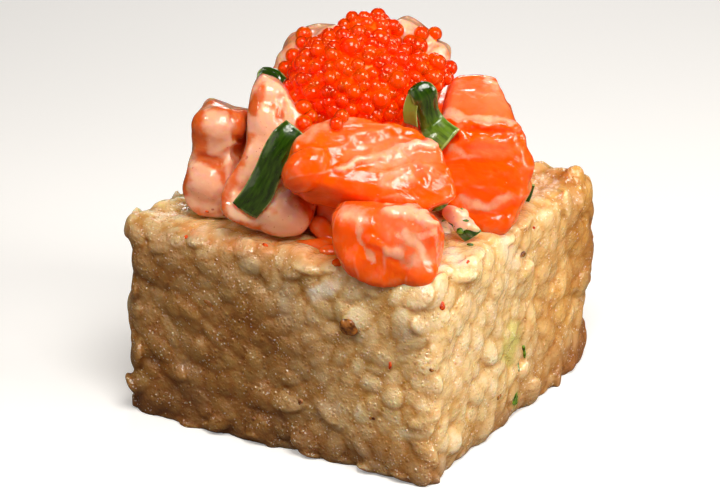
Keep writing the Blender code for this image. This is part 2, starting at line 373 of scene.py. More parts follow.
def calc(tree, operation, a, b=0.0, clamp=False):
    return addNode(tree, "ShaderNodeMath", {0: a, 1: b}, operation=operation, use_clamp=clamp).outputs[0]


def plus(tree, a, b, clamp=False):
    return calc(tree, "ADD", a, b, clamp)


def times(tree, a, b):
    return calc(tree, "MULTIPLY", a, b)


def scaledBy(tree, vector, factor):
    links = {0: vector, "Scale": factor}
    return addNode(tree, "ShaderNodeVectorMath", links, operation="SCALE").outputs[0]


def ramp(tree, value, low, high, start=0.0, end=1.0):
    links = {"Value": value, "From Min": low, "From Max": high, "To Min": start, "To Max": end}
    return addNode(tree, "ShaderNodeMapRange", links, interpolation_type="SMOOTHSTEP").outputs[0]


def blendColour(tree, share, first, second, how="MIX"):
    links = {0: share}
    for index, colour in ((6, first), (7, second)):
        links[index] = colour if isinstance(colour, bpy.types.NodeSocket) else (*colour, 1.0)
    return addNode(tree, "ShaderNodeMix", links, data_type="RGBA", blend_type=how).outputs[2]


def tinted(tree, share, colour, tint):
    # Multiplies a colour by a tint where the share is one
    return blendColour(tree, share, colour, tint, "MULTIPLY")


def attribute(tree, name):
    return addNode(tree, "ShaderNodeAttribute", attribute_name=name).outputs["Fac"]


def noiseNode(tree, vector, scale, detail=2.0, roughness=0.5):
    links = {"Vector": vector, "Scale": scale, "Detail": detail, "Roughness": roughness}
    return addNode(tree, "ShaderNodeTexNoise", links).outputs["Fac"]


def patchy(tree, vector, scale, detail, low, high):
    # A soft mask of about half the surface
    return ramp(tree, noiseNode(tree, vector, scale, detail), low, high)


def cellsOf(tree, vector, spacing):
    # Scattered centres: how far away the nearest is in millimetres, and two random values that belong to it
    scale = calc(tree, "DIVIDE", 1.0, spacing)
    cells = addNode(tree, "ShaderNodeTexVoronoi", {"Vector": vector, "Scale": scale}, feature="F1")
    parts = addNode(tree, "ShaderNodeSeparateColor", {"Color": cells.outputs["Color"]})
    return times(tree, cells.outputs["Distance"], spacing), parts.outputs[0], parts.outputs[1]


def newGroup(name, inputs, outputs):
    group = bpy.data.node_groups.new(name, "ShaderNodeTree")
    for label, value in inputs:
        socket = group.interface.new_socket(name=label, in_out="INPUT", socket_type="NodeSocketFloat")
        socket.default_value = value
    for label in outputs:
        group.interface.new_socket(name=label, in_out="OUTPUT", socket_type="NodeSocketFloat")
    return group, group.nodes.new("NodeGroupInput"), group.nodes.new("NodeGroupOutput")


def placed(tree, group, values):
    return addNode(tree, "ShaderNodeGroup", values, node_tree=group)


def coordinates(tree):
    # Object coordinates in millimetres
    return scaledBy(tree, addNode(tree, "ShaderNodeTexCoord").outputs["Object"], 1 / mm)


# What the shared effects are made of; their sizes are set where each finish places them
wet = {
    "patches": (3.0, 0.35, 0.65),  # detail of the noise, and its edges
    "beadSizes": (0.5, 0.8),  # the smallest against Bead Size, and the spread
    "beadCover": (0.4, 1.2),  # where the gloss is patchy there are more beads
    "waves": 0.6,
    "domes": 0.4,
}
speckLook = {
    "bend": 0.5,  # millimetres by which noise makes the spots uneven
    "bendScale": 2.0,
    "edge": 0.04,
}


def makeWetRelief():
    # Wet skin: a height with soft waves and small beads, and a patchy mask that varies the gloss
    inputs = [("Size", 0.5), ("Patch Size", 3.0), ("Bead Spacing", 0.7), ("Bead Size", 0.2), ("Beads", 0.5)]
    group, start, end = newGroup("wetRelief", inputs, ["Height", "Patches"])
    where = coordinates(group)
    given = start.outputs
    waves = noiseNode(group, where, calc(group, "DIVIDE", 1.0, given["Size"]))
    patches = patchy(group, where, calc(group, "DIVIDE", 1.0, given["Patch Size"]), *wet["patches"])
    reach, chance, vary = cellsOf(group, where, given["Bead Spacing"])
    least, spread = wet["beadSizes"]
    radius = times(group, given["Bead Size"], plus(group, times(group, vary, spread), least))
    share = calc(group, "DIVIDE", reach, radius)
    dome = calc(group, "SUBTRACT", 1.0, times(group, share, share), clamp=True)
    least, spread = wet["beadCover"]
    limit = times(group, given["Beads"], plus(group, times(group, patches, spread), least))
    dome = times(group, dome, calc(group, "LESS_THAN", chance, limit))
    height = plus(group, times(group, waves, wet["waves"]), times(group, dome, wet["domes"]))
    group.links.new(height, end.inputs["Height"])
    group.links.new(patches, end.inputs["Patches"])
    return group


def makeSpecks():
    # Scattered small spots: a mask that is one inside a spot
    group, start, end = newGroup("specks", [("Spacing", 2.0), ("Spot Size", 0.15), ("Amount", 0.5)], ["Mask"])
    where = coordinates(group)
    noiseLinks = {"Vector": where, "Scale": speckLook["bendScale"], "Detail": 2.0}
    wobble = addNode(group, "ShaderNodeTexNoise", noiseLinks).outputs["Color"]
    links = {0: where, 1: scaledBy(group, wobble, speckLook["bend"])}
    bent = addNode(group, "ShaderNodeVectorMath", links, operation="ADD").outputs[0]
    reach, chance, _ = cellsOf(group, bent, start.outputs["Spacing"])
    inside = calc(group, "SUBTRACT", start.outputs["Spot Size"], reach)
    spot = ramp(group, inside, -speckLook["edge"], speckLook["edge"])
    chosen = calc(group, "LESS_THAN", chance, start.outputs["Amount"])
    group.links.new(times(group, spot, chosen), end.inputs["Mask"])
    return group


wetRelief = makeWetRelief()
specks = makeSpecks()


def newMaterial(name, values):
    made = bpy.data.materials.new(name)
    made.use_nodes = True
    shader = made.node_tree.nodes["Principled BSDF"]
    for key, value in values.items():
        shader.inputs[key].default_value = value
    return made, made.node_tree, shader


def paint(tree, shader, colour):
    tree.links.new(colour, shader.inputs["Base Color"])


def bumpInto(tree, shader, height, depth):
    bump = addNode(tree, "ShaderNodeBump", {"Height": height, "Strength": 1.0, "Distance": depth * mm})
    tree.links.new(bump.outputs[0], shader.inputs["Normal"])


def wetSkin(tree, shader, look):
    # Gloss that varies in patches from dry to wet roughness, and the height of the wet relief
    skin = placed(tree, wetRelief, look["skin"])
    gloss = ramp(tree, skin.outputs["Patches"], 0.0, 1.0, *look["gloss"])
    tree.links.new(gloss, shader.inputs["Roughness"])
    return skin.outputs["Height"]


# Helpers for Geometry Nodes
def newTree(name, sizes):
    # A tree with a mesh, sizes, a seed and a finish as named inputs
    tree = bpy.data.node_groups.new(name, "GeometryNodeTree")
    tree.is_modifier = True
    floats = [(label, "Float") for label in sizes]
    for label, kind in (("Geometry", "Geometry"), *floats, ("Seed", "Int"), ("Finish", "Material")):
        tree.interface.new_socket(name=label, in_out="INPUT", socket_type="NodeSocket" + kind)
    tree.interface.new_socket(name="Geometry", in_out="OUTPUT", socket_type="NodeSocketGeometry")
    return tree, tree.nodes.new("NodeGroupInput").outputs, tree.nodes.new("NodeGroupOutput")


def endTree(tree, given, instances, end):
    real = addNode(tree, "GeometryNodeRealizeInstances", {"Geometry": instances})
    links = {"Geometry": real.outputs[0], "Material": given["Finish"]}
    painted = addNode(tree, "GeometryNodeSetMaterial", links)
    tree.links.new(painted.outputs[0], end.inputs[0])
    return tree


def chanceValue(tree, low, high, seed):
    # A random value or vector for each instance
    if isinstance(low, tuple):
        links = {0: low, 1: high, "Seed": seed}
        return addNode(tree, "FunctionNodeRandomValue", links, data_type="FLOAT_VECTOR").outputs[0]
    links = {2: low, 3: high, "Seed": seed}
    return addNode(tree, "FunctionNodeRandomValue", links, data_type="FLOAT").outputs[1]


# The fried rice square
rice = {
    "grainLength": 6.4,
    "grainWidth": 3.5,
    "grainThickness": 1.7,
    "grainSides": 10,
    "grainRings": 7,
    "spacing": 2.1,
    "sink": 0.42,  # how far a grain's middle lies under the skin
    "density": 900000.0,  # grains to a square metre, before the spacing thins them
    "tilt": (0.12, 0.16),  # radians, about the long and the short way of a grain
    "sizes": ((0.6, 0.7, 0.8), (1.1, 1.3, 1.15)),  # smallest and largest against the sizes above
    "sinks": (0.6, 1.25),
    "shingle": 0.10,  # radians that a grain's lower end stands out on the upright sides
    "coreVoxel": 0.7,
    "coreSmooth": 10,
    "voxel": 0.26,
    "faces": 194000,
    "press": 0.52,  # share of the relief that pressing the block took away
    "cutPress": 0.10,  # more of it on the cut right side
    "seam": 0.045,  # depth of the crease round each grain
    "pressNoise": (6.0, 0.8, 0.6),  # size, least and spread
    "mostPress": 0.85,
    "cutSeam": 0.3,  # share of the crease that the cut closed
    "blister": 0.05,  # depth of the blisters from frying
    "blisterSize": 1.5,
    "seed": 4,
    "pale": (0.82, 0.60, 0.31),
    "white": (0.93, 0.80, 0.55),
    "creaseShade": (0.90, 0.69, 0.42),  # painted shade: tint in the creases between the grains and in the hollows
    "milk": (0.95, 0.86, 0.72),
    "leaf": (0.68, 0.64, 0.20),
    # colour of the painted glints
    "glint": (1.0, 0.90, 0.72),
    "amber": (0.66, 0.38, 0.12),
    "brown": (0.30, 0.105, 0.015),
    "shade": (0.42, 0.275, 0.12),  # painted shade: tint of the front side
    "toast": (0.84, 0.60, 0.28),  # tint of the far side
    "juice": (0.75, 0.17, 0.012),
    "coreTone": 0.3,
    "cutTone": 0.5,  # share by which the grains' tones fade on the cut side
    "stainNoise": (2.5, 0.7, 0.6),
    "lumpTone": 0.9,
    "reliefSteps": 30,  # smoothing steps that single grains, and then only their crests, stand out from
    "crestSteps": 4,
    "toneShare": 0.6,
    "cloud": (0.16, 3.0, 0.5),  # noise: scale, detail, roughness
    "mottle": (0.8, 3.0, 0.6),
    "light": (  # what makes the rice lighter: its range, and what it adds at either end; the proud and crest rows are painted shade in the hollows and painted highlight on the crests
        ("cloud", 0.32, 0.68, -0.05, 0.45),
        ("mottle", 0.3, 0.7, -0.06, 0.08),
        ("proud", -0.4, 0.3, -0.2, 0.15),
        ("crest", -0.08, 0.08, -0.14, 0.10),
        ("crest", 0.02, 0.09, 0.0, 0.22),
    ),
    "toPale": (-0.1, 0.75),
    "toWhite": (0.7, 1.25, 0.0, 0.8),
    "seamShade": 0.55,
    "hollowShade": (-0.02, -0.14, 0.0, 0.4),
    "brownShare": 0.85,
    # painted glints: pale specks scattered in patches
    "glitter": {"Spacing": 0.46, "Spot Size": 0.12, "Amount": 0.6},
    "glitterPatch": (0.45, 3.0, 0.6),
    "glitterEdge": (0.45, 0.6),
    "glitterShare": 0.6,
    "skin": {"Size": 0.6, "Patch Size": 2.2, "Bead Spacing": 0.6, "Bead Size": 0.26, "Beads": 0.45},
    "gloss": (0.18, 0.06),
    "bump": 0.4,
    "flesh": {
        "Subsurface Weight": 0.95, "Subsurface Radius": (1.0, 0.55, 0.22), "Subsurface Scale": 1.5 * mm,
        "IOR": 1.5, "Specular IOR Level": 0.8,
    },
}
crustAndShade = {  # where frying and cutting changed the square and where painted shade darkens its front side, in millimetres from its middle and its foot
    "cut": (19.0, 24.0),
    "front": (21.0, 25.0),
    "nearCorner": (-6.0, 20.0),
    "nearFade": 0.85,
    "footBand": (3.0, 14.0),
    "footShade": 0.12,
    "topBand": (18.0, 28.0),
    "topFade": 0.45,
    "shadeNoise": (9.0, 0.25),  # size and strength
    "farBand": (-12.0, 22.0),
    "toastNoise": (8.0, 0.9, 0.5),  # size, least and spread
    "rim": (1.0, 9.0),
    "corner": (0.72, 1.0),  # share of the way from the middle to a side
    "back": (0.1, 1.0),
    "patchSize": 7.0,
    "rimBrown": 0.8,
    "cornerBrown": 0.45,
    "backBrown": 0.45,
    "patchBrown": 0.5,
    "bare": 0.17,
    "proudPale": 0.3,
}
riceLumps = (  # grains that stand out: pixel, half sizes, angle, sink
    ((320, 291), (2.2, 1.3, 1.0), 12, 0.25),
    ((549, 172), (1.8, 1.4, 2.5), 70, -0.9),
    ((563, 180), (2.8, 1.6, 1.8), -20, -0.1),
    ((574, 183), (1.9, 1.4, 2.3), 60, -0.7),
    ((536, 176), (2.4, 1.6, 2.0), 20, -0.2),
    ((166, 210), (2.2, 1.5, 1.6), 10, 0.0),
    ((180, 206), (1.8, 1.3, 1.5), 10, 0.0),
    ((148, 218), (2.0, 1.3, 1.3), -10, 0.1),
    ((512, 345), (2.9, 1.5, 0.9), 75, 0.45),
    ((454, 258), (1.6, 1.2, 0.9), 20, 0.3),
    ((288, 312), (1.2, 2.6, 0.9), 0, 0.35),
    ((195, 395), (1.6, 2.4, 1.0), 0, 0.3),
    ((498, 430), (2.4, 1.0, 0.8), 25, 0.0),
    ((545, 390), (1.5, 0.8, 0.6), 0, 0.1),
)


def makeGrainTree():
    sizes = ("Length", "Width", "Thickness", "Spacing", "Sink", "Shingle")
    tree, given, end = newTree("layGrains", sizes)
    spread = addNode(tree, "GeometryNodeDistributePointsOnFaces", {
        "Mesh": given["Geometry"], "Distance Min": given["Spacing"], "Density Max": rice["density"],
        "Seed": given["Seed"],
    }, distribute_method="POISSON")
    tilt, roll = rice["tilt"]
    spin = chanceValue(tree, (-tilt, -roll, -math.pi), (tilt, roll, math.pi), 1)
    turned = addNode(tree, "FunctionNodeRotateRotation", {
        "Rotation": spread.outputs["Rotation"],
        "Rotate By": addNode(tree, "FunctionNodeEulerToRotation", {"Euler": spin}).outputs[0],
    }, rotation_space="LOCAL")
    # Each grain leans about the level line through it, so that its lower end stands out
    level = addNode(tree, "ShaderNodeVectorMath", {
        0: spread.outputs["Normal"], 1: (0.0, 0.0, 1.0),
    }, operation="CROSS_PRODUCT").outputs[0]
    lean = addNode(tree, "FunctionNodeAxisAngleToRotation", {"Axis": level, "Angle": given["Shingle"]})
    leaning = addNode(tree, "FunctionNodeRotateRotation", {
        "Rotation": turned.outputs[0], "Rotate By": lean.outputs[0],
    }, rotation_space="GLOBAL")
    size = addNode(tree, "ShaderNodeCombineXYZ", {
        0: given["Length"], 1: given["Width"], 2: given["Thickness"],
    }).outputs[0]
    vary = chanceValue(tree, *rice["sizes"], 2)
    scale = addNode(tree, "ShaderNodeVectorMath", {0: size, 1: vary}, operation="MULTIPLY").outputs[0]
    grain = addNode(tree, "GeometryNodeMeshUVSphere", {
        "Segments": rice["grainSides"], "Rings": rice["grainRings"], "Radius": 0.5,
    })
    laid = addNode(tree, "GeometryNodeInstanceOnPoints", {
        "Points": spread.outputs["Points"], "Instance": grain.outputs["Mesh"],
        "Rotation": leaning.outputs[0], "Scale": scale,
    })
    drift = chanceValue(tree, *rice["sinks"], 3)
    drop = addNode(tree, "ShaderNodeCombineXYZ", {2: times(tree, times(tree, given["Sink"], -1.0), drift)})
    sunk = addNode(tree, "GeometryNodeTranslateInstances", {
        "Instances": laid.outputs[0], "Translation": drop.outputs[0], "Local Space": True,
    })
    kept = addNode(tree, "GeometryNodeStoreNamedAttribute", {
        "Geometry": sunk.outputs[0], "Name": "tone", "Value": chanceValue(tree, 0.0, 1.0, 5),
    }, data_type="FLOAT", domain="INSTANCE")
    return endTree(tree, given, kept.outputs[0], end)


def makeRiceFinish():
    made, tree, shader = newMaterial("friedRice", rice["flesh"])
    where = coordinates(tree)
    found = {key: attribute(tree, key) for key in ("proud", "crest")}
    found.update({key: noiseNode(tree, where, *rice[key]) for key in ("cloud", "mottle")})
    # Lightness from each grain's tone and noise, with painted shade in the hollows and painted highlight on
    # the crests
    light = times(tree, attribute(tree, "tone"), rice["toneShare"])
    for key, *edges in rice["light"]:
        light = plus(tree, light, ramp(tree, found[key], *edges))
    colour = blendColour(tree, ramp(tree, light, *rice["toPale"]), rice["amber"], rice["pale"])
    colour = blendColour(tree, ramp(tree, light, *rice["toWhite"]), colour, rice["white"])
    # Painted shade in the creases between the grains and in the hollows
    hollowShadeShare = ramp(tree, found["crest"], *rice["hollowShade"])
    creaseShade = plus(tree, times(tree, attribute(tree, "seam"), rice["seamShade"]), hollowShadeShare, clamp=True)
    colour = tinted(tree, creaseShade, colour, rice["creaseShade"])
    colour = blendColour(tree, attribute(tree, "milky"), colour, rice["milk"])
    colour = blendColour(tree, attribute(tree, "leafy"), colour, rice["leaf"])
    browned = times(tree, attribute(tree, "browned"), rice["brownShare"])
    colour = blendColour(tree, browned, colour, rice["brown"])
    # Painted shade on the front side, then the far side's toasted tint
    for key in ("shade", "toast"):
        colour = tinted(tree, attribute(tree, key), colour, rice[key])
    # Painted glints: pale specks mixed into the colour
    patch = ramp(tree, noiseNode(tree, where, *rice["glitterPatch"]), *rice["glitterEdge"])
    glitter = times(tree, placed(tree, specks, rice["glitter"]).outputs["Mask"], patch)
    colour = blendColour(tree, times(tree, glitter, rice["glitterShare"]), colour, rice["glint"])
    paint(tree, shader, blendColour(tree, attribute(tree, "stain"), colour, rice["juice"]))
    bumpInto(tree, shader, wetSkin(tree, shader, rice), rice["bump"])
    return made


def heapRice(finish):
    # The core with grains laid over it, and for each corner of a face its grain and that grain's tone
    core = fused(mergedCopy("rice_block"), rice["coreVoxel"])
    movePoints(core, smoothed(pointsOf(core), edgesOf(core), rice["coreSmooth"]))
    sizes = {key: rice["grain" + key] * mm for key in ("Length", "Width", "Thickness")}
    grains = grown(core, makeGrainTree(), {
        **sizes, "Spacing": rice["spacing"] * mm, "Sink": rice["sink"] * mm,
        "Shingle": rice["shingle"], "Seed": rice["seed"], "Finish": finish,
    })
    lumps = lumpsOn(surfaceTree(core), riceLumps)
    heap = joinedMesh("riceHeap", (core, grains, lumps))
    first, last = len(core.vertices), len(core.vertices) + len(grains.vertices)
    tones = np.empty(last - first, dtype=np.float32)
    grains.attributes["tone"].data.foreach_get("value", tones)
    tone = np.full(len(heap.vertices), rice["coreTone"])
    tone[first:last] = tones
    tone[last:] = rice["lumpTone"]
    grain = np.zeros(len(heap.vertices), dtype=int)
    grainSize = rice["grainSides"] * (rice["grainRings"] - 1) + 2
    grain[first:last] = 1 + np.arange(last - first) // grainSize
    grain[last:] = -1 - np.arange(len(heap.vertices) - last) // (len(lumps.vertices) // len(riceLumps))
    corners = np.array([p.vertices[0] for p in heap.polygons])
    return heap, grain[corners], tone[corners]


def buildRice():
    finish = makeRiceFinish()
    heap, grainOf, toneOf = heapRice(finish)
    heapTree = surfaceTree(heap)
    mesh = thinned(fused(heap, rice["voxel"]), rice["faces"])
    edges = edgesOf(mesh)
    points = pointsOf(mesh)
    owner = np.array([heapTree.find_nearest(Vector(p))[2] for p in points.tolist()])
    # A crease runs where neighbouring points belong to different grains
    grain = grainOf[owner]
    seam = np.zeros(len(points))
    seam[edges[grain[edges[:, 0]] != grain[edges[:, 1]]].ravel()] = 1.0
    seam = blurred(seam, edges, 1)
    points = smoothed(points, edges, 1)
    movePoints(mesh, points)
    normals = normalsOf(mesh)
    proud = proudOf(points, normals, edges, rice["reliefSteps"])
    crest = proudOf(points, normals, edges, rice["crestSteps"])
    # Pressing and cutting take part of the relief away
    cut = rise(points[:, 0] / mm, *crustAndShade["cut"])
    size, least, spread = rice["pressNoise"]
    press = rice["press"] + rice["cutPress"] * cut * (least + spread * noiseAt(points, size))
    flat = smoothed(points, edges, rice["reliefSteps"])
    points -= np.clip(press, 0.0, rice["mostPress"])[:, None] * (points - flat)
    seam *= 1 - rice["cutSeam"] * cut
    points -= normals * (seam * rice["seam"] * mm)[:, None]
    movePoints(mesh, points)
    blisters = noiseAt(points, rice["blisterSize"]) * rice["blister"] * mm
    points = points + normalsOf(mesh) * blisters[:, None]
    points[:, 2] = np.maximum(points[:, 2], 0.0)
    movePoints(mesh, points)
    normals = normalsOf(mesh)
    # Painted shade: how far the front side is darkened
    shade = shadeAt(points)
    places = brushPlaces(points, normals)
    noiseSize, noiseShare = crustAndShade["shadeNoise"]
    size, least, spread = rice["stainNoise"]
    values = {
        "tone": blurred(toneOf[owner], edges, 1) * (1 - rice["cutTone"] * cut) + rice["coreTone"] * cut,
        "seam": seam,
        "proud": proud,
        "crest": crest,
        "browned": brownedAt(points, proud),
        "shade": np.clip(shade + noiseShare * noiseAt(points, noiseSize) * shade, 0.0, 1.0),
        "toast": toastAt(points) * (1 - shade),
        "stain": strokeShare(places, riceStains) * (least + spread * noiseAt(points, size)),
        "milky": strokeShare(places, milkyGrains),
        "leafy": strokeShare(places, leafyGrains),
    }
    for key, found in values.items():
        addValues(mesh, key, found)
    print("rice faces", len(mesh.polygons))
    return showPiece("friedRice", mesh, finish, ("rice_block",)).data


def shadeAt(points):
    # Painted shade on the front side: less towards the near corner and the top, a little more at the foot
    across, forward, up = points[:, 0] / mm, -points[:, 1] / mm, points[:, 2] / mm
    shade = 1 + crustAndShade["footShade"] * (1 - rise(up, *crustAndShade["footBand"]))
    shade *= rise(forward, *crustAndShade["front"]) * (1 - crustAndShade["nearFade"] * rise(across, *crustAndShade["nearCorner"]))
    return shade * (1 - crustAndShade["topFade"] * rise(up, *crustAndShade["topBand"]))


def toastAt(points):
    size, least, spread = crustAndShade["toastNoise"]
    toast = rise(points[:, 1] / mm, *crustAndShade["farBand"]) * (least + spread * noiseAt(points, size))
    return np.clip(toast, 0.0, 1.0)


def brownedAt(points, proud):
    # The fried crust: darkest along the lower rim and the upright corners, in patches
    half = np.array([(cadHigh[i] - cadLow[i]) / 2 for i in range(2)])
    corner = rise((np.abs(points[:, :2]) / half).min(axis=1), *crustAndShade["corner"])
    low = 1 - rise(points[:, 2] / mm, *crustAndShade["rim"])
    back = rise(points[:, 1] / half[1], *crustAndShade["back"])
    brown = crustAndShade["cornerBrown"] * corner + crustAndShade["rimBrown"] * low + crustAndShade["backBrown"] * back
    brown += crustAndShade["patchBrown"] * noiseAt(points, crustAndShade["patchSize"], 3)
    return np.clip(brown - crustAndShade["bare"] - crustAndShade["proudPale"] * proud, 0.0, 1.0)


# Strokes on the rice: width, strength and path, in the photograph's pixels
riceStains = (  # orange juice from the fish
    (12, 0.4, ((186, 226), (215, 240), (250, 248), (300, 250), (340, 258))),
    (10, 0.7, ((316, 236), (334, 248))),
)
milkyGrains = (
    (11, 0.9, ((313, 294), (331, 288))), (9, 0.5, ((452, 254), (462, 262))),
    (9, 0.4, ((405, 337), (420, 330))),
    (12, 0.35, ((285, 290), (288, 325))), (15, 0.35, ((180, 365), (200, 400))),
    (10, 0.35, ((322, 412), (335, 408))), (9, 0.4, ((505, 240), (512, 260))),
)
leafyGrains = ((11, 0.85, ((515, 328), (508, 358))), (4, 0.7, ((517, 394), (514, 406))))


# Salmon dice
salmon = {
    "voxel": 0.3,
    "flakeSpacing": 3.4,
    "flakeDepth": 0.10,
    "bareDepth": 1.15,
    "swell": 0.12,  # how far the flesh bulges into the clearance round its node
    "orange": (1.0, 0.105, 0.0),
    "pink": (1.0, 0.205, 0.075),
    "fat": (0.94, 0.55, 0.39),
    "cream": (0.86, 0.46, 0.30),
    "underSauce": (0.62, 0.13, 0.025),
    "thinCream": (0.70, 0.20, 0.07),
    "speck": (0.45, 0.025, 0.008),
    "outlineSteps": 5,  # smoothing steps that take the corners off a die
    "crestSteps": 40,
    "flakeSeam": 0.16,  # share of a flake that rises at its seam
    "waves": ((5.0, 0.35), (1.4, 0.07)),  # size and height of the uneven surface
    "bow": (0.05, 0.025),  # how the flakes bend along the other two directions
    "flakeWander": (7.0, 1.2),
    "saucedFrom": 0.5,
    "sauced": 0.8,
    "cloud": (0.22, 3.0, 0.6),  # noise: scale, detail, roughness
    "cloudPale": (0.3, 0.75, -0.3, 0.2),
    "lineWidth": 0.10,
    "lineBreaks": (0.45, 2.0, 0.42, 0.62),
    "lineShare": 0.25,
    "ragged": (0.9, 3.0, 0.6),
    "fatRagged": 1.1,
    "fatEdge": (0.2, 0.85, 0.0, 0.75),
    "lumps": (0.55, 3.0, 0.55),
    "lumpSmear": 1.1,
    "raggedSmear": 0.35,
    "crestSmear": (-0.12, 0.12, -0.15, 0.15),
    "bareBelow": 0.62,  # smear under which the flesh shows
    "thinEdge": (0.0, 0.6, 0.0, 0.9),
    "creamEdge": (0.15, 1.1),
    "spots": {"Spacing": 1.5, "Spot Size": 0.2, "Amount": 0.4},
    "dots": {"Spacing": 0.6, "Spot Size": 0.08, "Amount": 0.3},
    "dotShare": 0.6,
    "speckled": (0.08, 0.9),  # specks on bare flesh, and how many more where the sauce is thick
    "speckShare": 0.8,
    "skin": {"Size": 1.1, "Patch Size": 3.5, "Bead Spacing": 1.6, "Bead Size": 0.22, "Beads": 0.25},
    "gloss": (0.07, 0.2),
    "bump": 0.24,
    "fibreScale": (0.3, 1.5),  # along the fibres and across them
    "fibres": (1.0, 3.0, 0.6),
    "fibreFade": (0.0, 0.6, 1.0, 0.3),
    "relief": (0.8, 0.35),  # shares of the wet relief and of the fibres in the bump
    "flesh": {
        "Subsurface Weight": 0.9, "Subsurface Radius": (1.0, 0.25, 0.05), "Subsurface Scale": 2.8 * mm,
        "IOR": 1.5, "Specular IOR Level": 0.55,
    },
}
